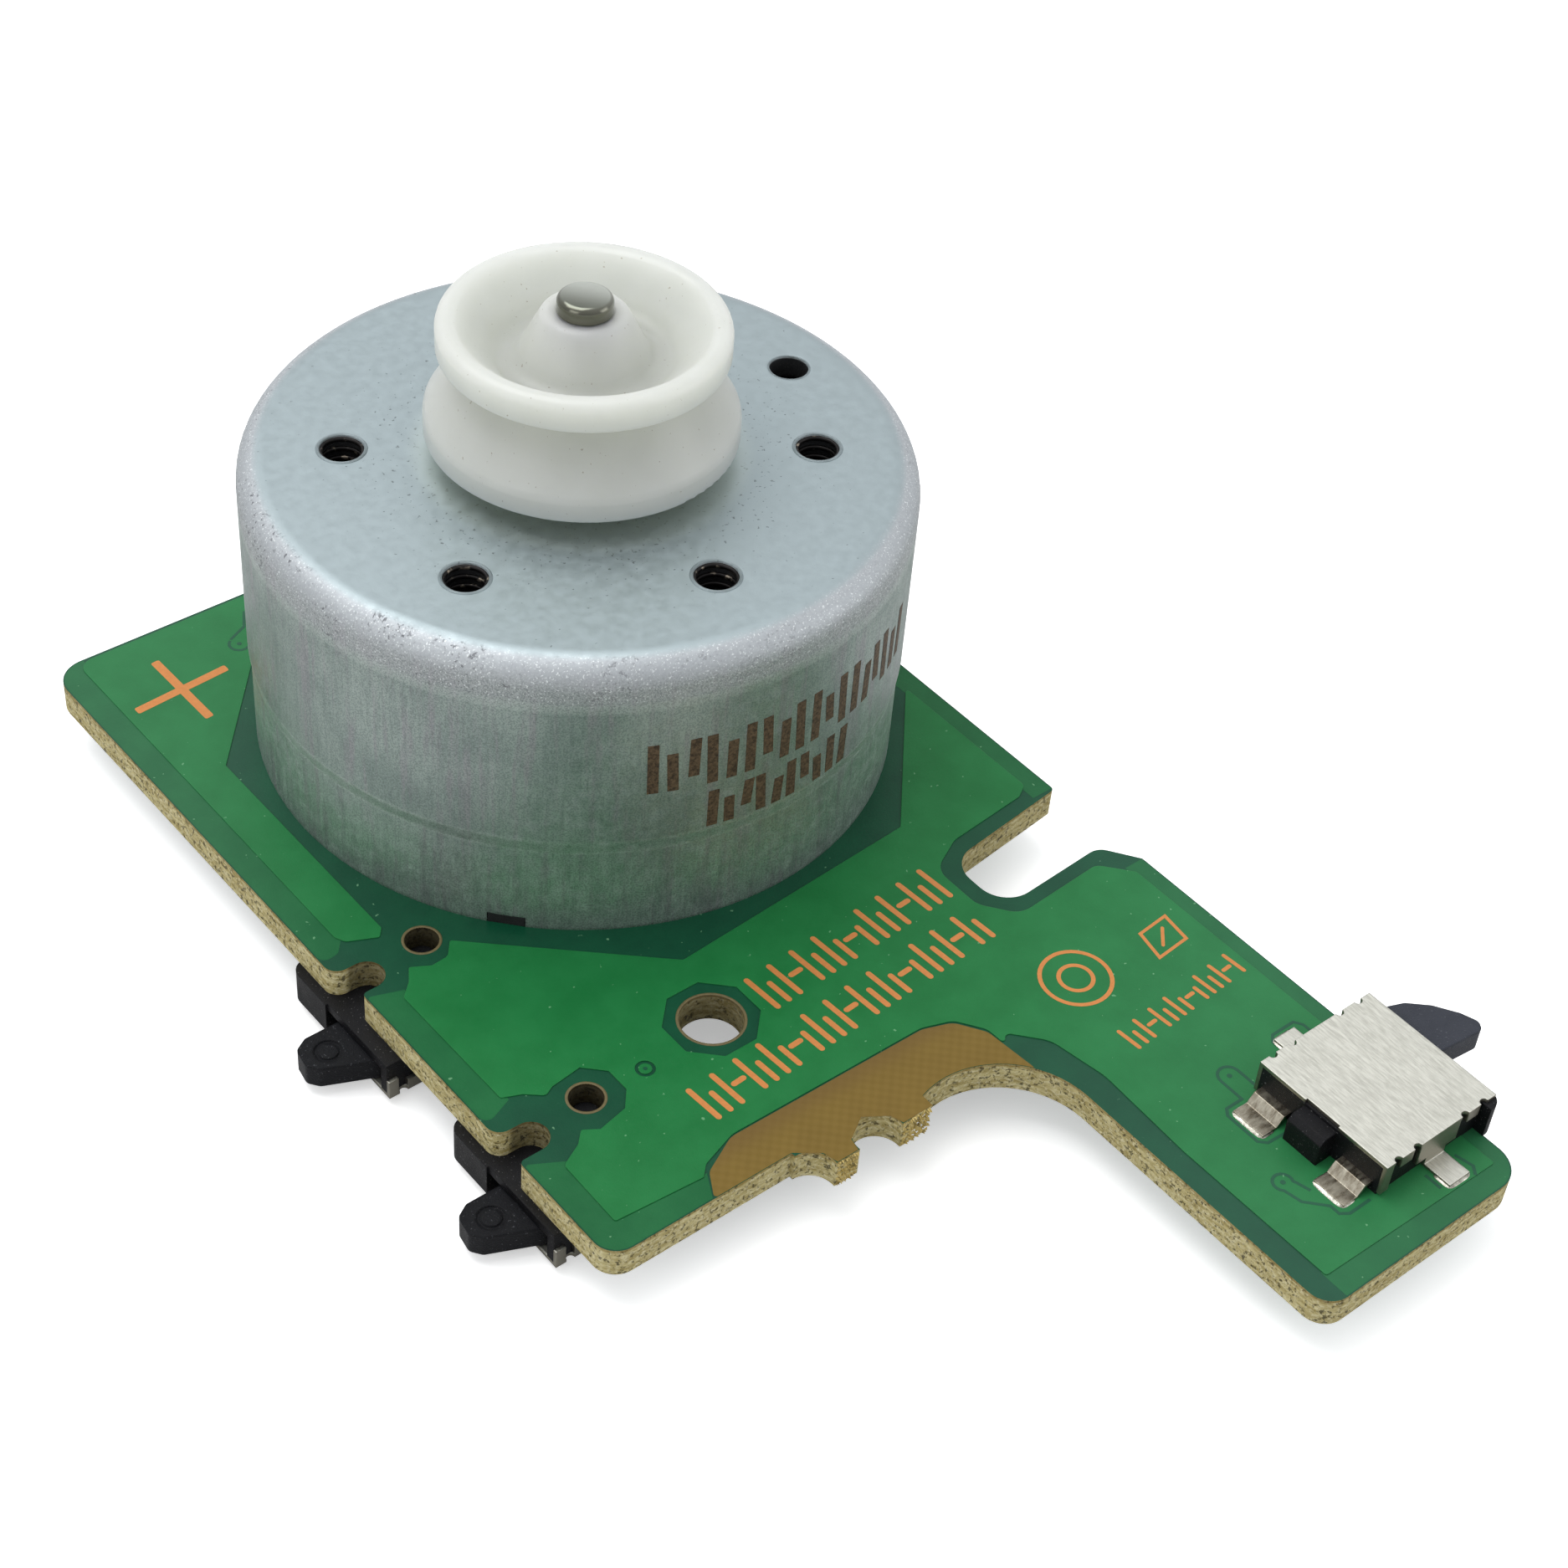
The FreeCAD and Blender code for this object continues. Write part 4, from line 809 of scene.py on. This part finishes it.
LEFT_POUR = [
    (-14.3, 12.85, 0.6), (-5.6, 12.85, 0.0), (-12.7, 4.65, 0.15), (-12.7, -5.75, 0.1),
    (-13.0, -6.1, 0.1), (-14.1, -5.6, 0.3), (-14.3, -5.2, 0.1),
]

BACK_POUR = [(5.6, 12.85, 0.0), (11.2, 12.85, 0.2), (11.2, 6.0, 0.0)]

MAIN_POUR = [
    (-11.1, -7.65, 0.1), (-5.0, -13.2, 0.15), (5.8, -12.5, 0.15), (11.2, -6.6, 0.1),
    (11.2, -13.5, 0.3), (10.6, -13.85, 0.3), (7.0, -14.2, 0.8), (5.4, -15.0, 0.9), (5.4, -17.2, 0.9),
    (6.4, -18.5, 0.9), (10.4, -18.25, 0.5), (11.4, -19.4, 0.3), (11.45, -36.65, 0.1), (3.25, -36.5, 0.1),
    (3.2, -30.0, 2.0), (3.4, -26.0, 2.5), (3.0, -23.7, 1.2), (1.9, -22.45, 0.2), (1.6, -23.0, 0.1),
    (1.55, -22.0, 0.6), (0.85, -21.0, 0.7), (-0.3, -20.6, 1.0), (-8.6, -20.5, 1.2), (-10.1, -21.0, 0.5),
    (-10.5, -21.4, 0.1), (-13.95, -21.15, 0.1), (-13.9, -18.3, 0.2), (-13.0, -17.85, 0.3),
    (-12.55, -17.4, 0.1), (-12.0, -17.75, 0.0), (-10.8, -17.5, 0.0), (-10.25, -16.85, 0.0),
    (-10.25, -15.85, 0.0), (-10.95, -15.15, 0.0), (-12.2, -15.3, 0.1), (-12.6, -15.5, 0.2),
    (-13.2, -15.0, 0.3), (-13.9, -14.7, 0.1), (-13.95, -9.0, 0.1), (-13.4, -8.5, 0.2),
    (-13.0, -7.9, 0.1), (-12.3, -8.3, 0.2), (-11.6, -8.25, 0.3),
]

BARE_WINDOW = [
    (-10.75, -22.25, 0.1), (-10.2, -21.3, 0.5), (-8.7, -20.55, 1.0), (-0.3, -20.65, 1.0),
    (0.8, -21.05, 0.7), (1.5, -22.1, 0.6), (1.7, -24.3, 0.1),
]


def arc(x, y, radius, start, end, steps=14):
    """Points along an arc, angles in degrees."""
    return [(x + radius * math.cos(math.radians(start + (end - start) * k / steps)),
             y + radius * math.sin(math.radians(start + (end - start) * k / steps)))
            for k in range(steps + 1)]


def window_outline():
    """The bare window: its far edge, then back along the arch, the tabs and the board's front edge."""
    far = rounded(BARE_WINDOW)
    arch = arc(-1.2, -26.3, 3.52, 35, 108)
    return far + arch + [(-2.3, -23.48), (-3.6, -23.48), (-3.75, -23.0), (-4.6, -22.45), (-5.5, -23.0),
                         (-5.6, -23.48), (-6.5, -23.48), (-6.65, -22.9), (-7.5, -22.28)]


def board_faces():
    """Copper under resist, the paler margin near the edges and the bare window."""
    green = pour_green()
    via = ngon(*VIA_LEFT, 0.36, 20)
    fixing = ngon(*HOLE_FIXING, 1.78, OCTAGON_SIDES, OCTAGON_TURN)
    pours = [
        [rounded(LEFT_POUR)],
        [rounded(BACK_POUR)],
        [rounded(MAIN_POUR), fixing, via],
        [ngon(*VIA_LEFT, 0.24, 20)],
    ]
    plate("copper_pour", pours, BOARD_TOP, COPPER_THICK, green, 0.03)
    plate("bare_window", [[window_outline()]], BOARD_TOP, INK_THICK, bare_laminate())
    pale = margin_green()
    strips = [
        [(-15.3, 12.95, 1.2), (-14.0, 12.95, 0), (-14.0, -5.2, 0), (-14.6, -5.9, 0.3), (-15.3, -6.0, 0.3)],
        [(-14.95, -8.25, 0.1), (-13.7, -8.7, 0), (-13.7, -14.9, 0), (-14.95, -15.4, 0.3)],
        [(-14.95, -17.5, 0.1), (-13.7, -18.2, 0), (-13.7, -21.0, 0), (-10.3, -21.3, 0), (-10.8, -22.25, 0),
         (-14.95, -22.25, 0.85)],
        [(11.0, 12.95, 0), (11.95, 12.95, 0.65), (11.95, -14.2, 0), (11.0, -14.2, 0)],
        [(11.2, -19.0, 0), (12.05, -19.0, 0), (12.05, -37.45, 1.15), (3.2, -37.45, 0), (3.2, -36.3, 0),
         (11.2, -36.3, 0)],
    ]
    margins = [[rounded(strip)] for strip in strips]
    plate("margin_resist", margins, BOARD_TOP, SKIN_THICK, pale)
    hole_rims()


def hole_rims():
    """Thin rings of laminate that show round the drilled holes."""
    edge = hole_rim()
    width, sunk, slope = 0.1, -0.02, 0.002
    for name, inner, rise, holes in (
        ("small_hole_rim", SMALL_HOLE_RADIUS, 0.01, (HOLE_MIDDLE, HOLE_FRONT)),
        ("fixing_hole_rim", FIXING_HOLE_RADIUS, 0.012, (HOLE_FIXING,)),
    ):
        outer = inner + width
        profile = [(inner, sunk), (inner, rise), (outer, rise - slope), (outer, sunk)]
        lathe(name, profile, [(*hole, BOARD_TOP) for hole in holes], edge)


def mark_row(start, end, height, count, width):
    """A row of plain upright strokes of uneven height, in place of lettering."""
    a, b = Vector(start), Vector(end)
    across = (b - a).normalized()
    up = Vector((-across.y, across.x))
    dash = across * 0.4 * (b - a).length / (count - 1)
    marks = []
    for k in range(count):
        foot = a + (b - a) * k / (count - 1)
        if k % 5 == 3:
            marks.append([stroke(foot - dash + up * height * 0.5, foot + dash + up * height * 0.5, width)])
        else:
            reach = height if k % 2 == 0 else height * 0.62
            marks.append([stroke(foot, foot + up * reach, width)])
    return marks


def cross(middle, right, top, width):
    """A plus as one outline, from its middle and the ends of its right and upper arms."""
    middle = Vector(middle)
    along, up = Vector(right) - middle, Vector(top) - middle
    half = width / 2
    thin_x, thin_y = half / along.length, half / up.length
    corners = []
    for sign in (1, -1):
        corners += [(sign * thin_x, sign * thin_y, 0.0), (sign * 1.0, sign * thin_y, 0.08),
                    (sign * 1.0, -sign * thin_y, 0.08), (sign * thin_x, -sign * thin_y, 0.0),
                    (sign * thin_x, -sign * 1.0, 0.08), (-sign * thin_x, -sign * 1.0, 0.08)]
    return rounded([(*(middle + along * a + up * b), radius) for a, b, radius in corners], 4)


def ribbon(points, width):
    """An open line of even width as one outline, with mitred bends."""
    path = [Vector(point) for point in points]
    sides = ([], [])
    for i, here in enumerate(path):
        back = (here - path[i - 1]).normalized() if i else (path[1] - here).normalized()
        ahead = (path[i + 1] - here).normalized() if i + 1 < len(path) else back
        mean = (back + ahead).normalized()
        normal = Vector((-mean.y, mean.x))
        reach = width / 2 / max(0.5, normal.dot(Vector((-back.y, back.x))))
        sides[0].append(tuple(here + normal * reach))
        sides[1].append(tuple(here - normal * reach))
    return sides[0] + sides[1][::-1]


def ring_region(x, y, radius, width):
    """A closed ring of even width."""
    sides = 40
    return [ngon(x, y, radius + width / 2, sides), ngon(x, y, radius - width / 2, sides)]


def frame_region(corners, width):
    """A closed frame of even width along four corners."""
    centre = sum((Vector(c) for c in corners), Vector((0, 0))) / 4
    inner = [tuple(centre + (Vector(c) - centre) * (1 - 2.6 * width / 2)) for c in corners]
    return [corners, inner]


def board_marks():
    """The plus, and plain stand-ins for the board's lettering, all in bare copper."""
    copper = bare_copper()
    level = BOARD_TOP + COPPER_THICK
    marks = [[cross((-11.8, 9.31), (-9.75, 9.45), (-11.83, 11.3), 0.36)]]
    marks += mark_row((-3.7, -16.9), (4.9, -16.3), 1.6, 17, 0.22)
    marks += mark_row((-8.5, -19.65), (4.8, -18.72), 1.5, 26, 0.22)
    marks.append(ring_region(*RING_PLACE, 1.3, 0.16))
    marks.append(ring_region(*RING_PLACE, 0.62, 0.16))
    marks.append(frame_region([(10.69, -21.6), (10.5, -23.0), (8.88, -23.14), (9.17, -21.74)], 0.14))
    marks.append([stroke((9.5, -22.7), (10.1, -22.05), 0.13)])
    marks += mark_row((5.3, -25.75), (11.0, -25.3), 0.95, 15, 0.16)
    plate("board_marks", marks, level, INK_THICK, copper)


def gap_lines():
    """Narrow dark gaps round the switch's short tracks, and the dimples of the plated holes."""
    level = BOARD_TOP + COPPER_THICK
    lines = []

    def run(points):
        lines.append([ribbon(points, 0.12)])

    upper_via = arc(*VIA_ARM, 0.42, 0, 180, 10)
    run([(7.34, -29.6)] + upper_via + [(6.5, -29.55), (5.75, -29.55), (5.55, -29.8), (5.55, -31.2),
                                      (5.8, -31.45), (6.6, -31.5)])
    lower_via = arc(*VIA_ARM_LOWER, 0.36, -30, 230, 12)
    run([(5.45, -33.75), (5.3, -33.2)] + lower_via + [(4.85, -33.9), (5.5, -34.6), (5.5, -35.0),
                                                     (5.8, -35.2), (6.8, -35.2)])
    run([(9.3, -29.3), (9.3, -28.35), (9.55, -28.1), (10.6, -28.1), (10.8, -28.4), (10.8, -29.2)])
    run([(9.1, -35.6), (9.1, -36.3)])
    run([(10.6, -35.6), (10.75, -36.3), (10.5, -36.62)])
    run(arc(*VIA_BACK, 0.4, 120, 300, 8) + [(-7.4, 10.3)])
    run([(-8.75, 10.8), (-7.9, 11.2), (-7.4, 12.0)])
    plate("gap_lines", lines, level, SKIN_THICK, resist_shadow())
    pits = ((VIA_ARM, 0.1), (VIA_ARM_LOWER, 0.1), (VIA_BACK, 0.1), (VIA_LEFT, 0.08))
    dots = [[ngon(*place, radius, 12)] for place, radius in pits]
    plate("via_pits", dots, level, INK_THICK, resist_shadow())


def fillet_mound(shape, x, y, z, half_x, half_y, height, down):
    """A low rounded mound of solder about a foot, as rings of points that rise and draw in."""
    rings = []
    layers = 5
    points = 28
    for k in range(layers):
        share = k / (layers - 1)
        rise = height * math.sin(share * math.pi / 2)
        shrink = 1 - 0.55 * share ** 1.6
        ring = []
        for i in range(points):
            angle = 2 * math.pi * i / points
            c, s = math.cos(angle), math.sin(angle)
            square = (abs(c) ** 5 + abs(s) ** 5) ** (-1 / 5)
            px = x + half_x * shrink * c * square
            py = y + half_y * shrink * s * square
            ring.append(shape.verts.new((px * MM, py * MM, (z + (-rise if down else rise)) * MM)))
        rings.append(ring)
    for low, high in zip(rings, rings[1:]):
        for i in range(points):
            j = (i + 1) % points
            shape.faces.new((low[i], low[j], high[j], high[i]))
    shape.faces.new(rings[-1])
    shape.faces.new(rings[0][::-1])


def switch_feet(x, y, side, hand):
    """Centres and half sizes of a switch's four soldered feet, on the board."""
    spots = []
    for low, high in ((1.2, 2.6), (-2.5, -1.15)):
        middle = y + hand * (low + high) / 2
        spots.append((x - side * 3.78, middle, 0.42, (high - low) / 2 + 0.1))
    for way in (-1, 1):
        spots.append((x, y + way * 3.72, 0.62, 0.46))
    return spots


def cable_wires():
    """Where the cable socket's contacts stand along X."""
    first = SOCKET_X - CABLE_PITCH * (CABLE_WIRES - 1) / 2
    return [first + CABLE_PITCH * k for k in range(CABLE_WIRES)]


def solder_work(looks):
    """Solder mounds at every foot of the three switches and at the cable socket's tails."""
    shape = bmesh.new()
    for px, py, hx, hy in switch_feet(*SWITCH_UPPER, 1, 1):
        fillet_mound(shape, px, py, BOARD_TOP, hx, hy, 0.1, False)
    for place in (SWITCH_MIDDLE, SWITCH_FRONT):
        for px, py, hx, hy in switch_feet(*place, -1, -1):
            fillet_mound(shape, px, py, BOARD_BOTTOM, hx, hy, 0.1, True)
    for x in cable_wires():
        fillet_mound(shape, x, TAIL_Y + 0.45, BOARD_BOTTOM, 0.2, 0.42, 0.09, True)
    bmesh.ops.recalc_face_normals(shape, faces=shape.faces)
    add_piece("solder_mounds", shape, looks["solder"], smooth=True)


def underside():
    """Guessed copper on the underside: a pour with two openings, tracks and a row of marks."""
    green = bpy.data.materials["pour_green"]
    drop = BOARD_BOTTOM - COPPER_THICK
    lower = rounded([
        (-8.2, 6.2, 0.3), (11.0, 6.2, 0.3), (11.0, -14.2, 0.3), (6.0, -14.3, 0.8), (5.0, -16.3, 0.8),
        (6.4, -18.5, 0.8), (11.0, -18.5, 0.4), (11.2, -36.6, 0.2), (3.3, -36.6, 0.2), (3.3, -24.5, 1.5),
        (1.5, -20.4, 1.5), (-7.9, -20.2, 0.4),
    ])
    holes = [ngon(*HOLE_FIXING, 1.8, OCTAGON_SIDES, OCTAGON_TURN), ngon(8.9, -32.95, 1.1, 24)]
    plate("underside_pour", [[lower, *holes]], drop, COPPER_THICK, green, 0.03)
    first, *middle, last = cable_wires()
    lines = [[stroke((first, TAIL_Y), (-3.4, 7.2), 0.3)]]
    lines += [[stroke((x, TAIL_Y), (x, 6.4), 0.22)] for x in middle]
    lines.append([stroke((last, TAIL_Y), (3.4, 7.2), 0.3)])
    plate("underside_tracks", lines, drop, COPPER_THICK, green, 0.02)
    copper = bpy.data.materials["bare_copper"]
    marks = mark_row((-4.5, -3.0), (3.5, -3.0), 1.4, 12, 0.2)
    plate("underside_marks", marks, drop - INK_THICK, INK_THICK, copper)


def torn_tabs():
    """Broken fibre bundles on the faces where the board was snapped from its panel."""
    shape = bmesh.new()
    count = 16
    for left, right in TORN_TABS:
        for k in range(count):
            x = left + (right - left) * (k + 0.5) / count
            for layer in range(5):
                z = BOARD_TOP - 0.12 - 0.24 * layer + random.uniform(-0.04, 0.04)
                reach = random.uniform(0.03, 0.16)
                half = random.uniform(0.03, 0.06)
                tall = random.uniform(0.05, 0.11)
                corners = [(x - half, z - tall), (x + half, z - tall),
                           (x + half, z + tall), (x - half, z + tall)]
                tip = shape.verts.new(((x + random.uniform(-0.04, 0.04)) * MM,
                                       (TORN_FACE - 0.02 - reach) * MM,
                                       (z + random.uniform(-0.05, 0.05)) * MM))
                base = [shape.verts.new((a * MM, TORN_FACE * MM, b * MM)) for a, b in corners]
                shape.faces.new(base[::-1])
                for i in range(4):
                    shape.faces.new((base[i], base[(i + 1) % 4], tip))
    bmesh.ops.recalc_face_normals(shape, faces=shape.faces)
    add_piece("torn_fibres", shape, torn_laminate())


# ---------------------------------------------------------------- stage, light and camera

def stage_look(name, shade, bounce):
    """Plain pale backdrop with a hint of tooth. It throws back less light than it shows.

    It is clear from behind, so that a view from below sees the object.
    """
    look = Look(name)
    tooth = look.noise(0.05, 3, 0.5)
    low = (shade * 0.985, shade * 0.985, shade * 0.985, 1)
    high = (shade, shade, shade, 1)
    seen = look.node("ShaderNodeLightPath").outputs["Is Camera Ray"]
    colour = look.mix(seen, (bounce, bounce, bounce, 1), look.mix(tooth, low, high))
    look.link((1, 1, 1, 1), look.shader.inputs["Emission Color"])
    look.link(look.times(seen, 0.4), look.shader.inputs["Emission Strength"])
    behind = look.node("ShaderNodeNewGeometry").outputs["Backfacing"]
    look.link(look.calc("SUBTRACT", 1.0, behind), look.shader.inputs["Alpha"])
    return look.finish(colour, 0.9, specular_ior_level=0.0)


def floor():
    """A wide pale floor just under the lowest point."""
    mesh = bpy.data.meshes.new("floor")
    half = 4000 * MM
    drop = REST_BOUNDS[0].z - 0.3 * MM
    mesh.from_pydata([(-half, -half, drop), (half, -half, drop), (half, half, drop), (-half, half, drop)],
                     [], [(0, 1, 2, 3)])
    mesh.materials.append(stage_look("floor_white", 0.99, 0.62))
    ground = bpy.data.objects.new("floor", mesh)
    bpy.context.scene.collection.objects.link(ground)


def softbox(name, place, target, size, power):
    """A square area light that faces a target. Places are in millimetres, power in watts."""
    light = bpy.data.lights.new(name, "AREA")
    light.shape = "SQUARE"
    light.size = size * MM
    light.energy = power
    lamp = bpy.data.objects.new(name, light)
    lamp.location = Vector(place) * MM
    lamp.rotation_euler = (Vector(target) - Vector(place)).to_track_quat("-Z", "Y").to_euler()
    bpy.context.scene.collection.objects.link(lamp)


def lighting():
    """White surroundings, dimmer in front, a large soft light above and a weaker one at each side."""
    world = bpy.data.worlds.new("studio")
    bpy.context.scene.world = world
    world.use_nodes = True
    nodes, links = world.node_tree.nodes, world.node_tree.links
    backdrop = nodes["Background"]
    backdrop.inputs["Color"].default_value = (0.97, 0.985, 1.0, 1)
    direction = nodes.new("ShaderNodeTexCoord")
    tilt = nodes.new("ShaderNodeVectorMath")
    tilt.operation = "DOT_PRODUCT"
    tilt.inputs[1].default_value = (0.42, 0.45, 0.79)
    ramp = nodes.new("ShaderNodeMapRange")
    for name, number in (("From Min", -0.6), ("From Max", 0.8), ("To Min", 0.5), ("To Max", 0.86)):
        ramp.inputs[name].default_value = number
    links.new(direction.outputs["Generated"], tilt.inputs[0])
    links.new(tilt.outputs["Value"], ramp.inputs["Value"])
    links.new(ramp.outputs["Result"], backdrop.inputs["Strength"])
    softbox("top_box", (-30, 60, 190), (0, -8, -8), 160, 0.24)
    softbox("left_box", (-190, -30, 80), (0, -8, -8), 120, 0.06)
    softbox("right_box", (150, -170, 60), (0, -8, -8), 120, 0.075)
    bpy.context.scene.view_settings.view_transform = "Standard"


def camera():
    """The camera: a long lens that looks down along the board's diagonal."""
    place = Vector((-51.325, -67.610, 61.808)) * MM
    heading, elevation, roll = (math.radians(a) for a in (-42.804, 42.395, 5.183))
    turn = Matrix.Rotation(heading, 4, "Z") @ Matrix.Rotation(math.pi / 2 - elevation, 4, "X")
    data = bpy.data.cameras.new("camera")
    data.sensor_width = 36
    data.lens = 66.83
    data.clip_start = 5 * MM
    eye = bpy.data.objects.new("camera", data)
    eye.matrix_world = Matrix.Translation(place) @ turn @ Matrix.Rotation(roll, 4, "Z")
    bpy.context.scene.collection.objects.link(eye)
    bpy.context.scene.camera = eye


# ---------------------------------------------------------------- put it together

looks = paint_cad()
motor_detail(looks)
board_faces()
board_marks()
gap_lines()
solder_work(looks)
underside()
torn_tabs()
floor()
lighting()
camera()
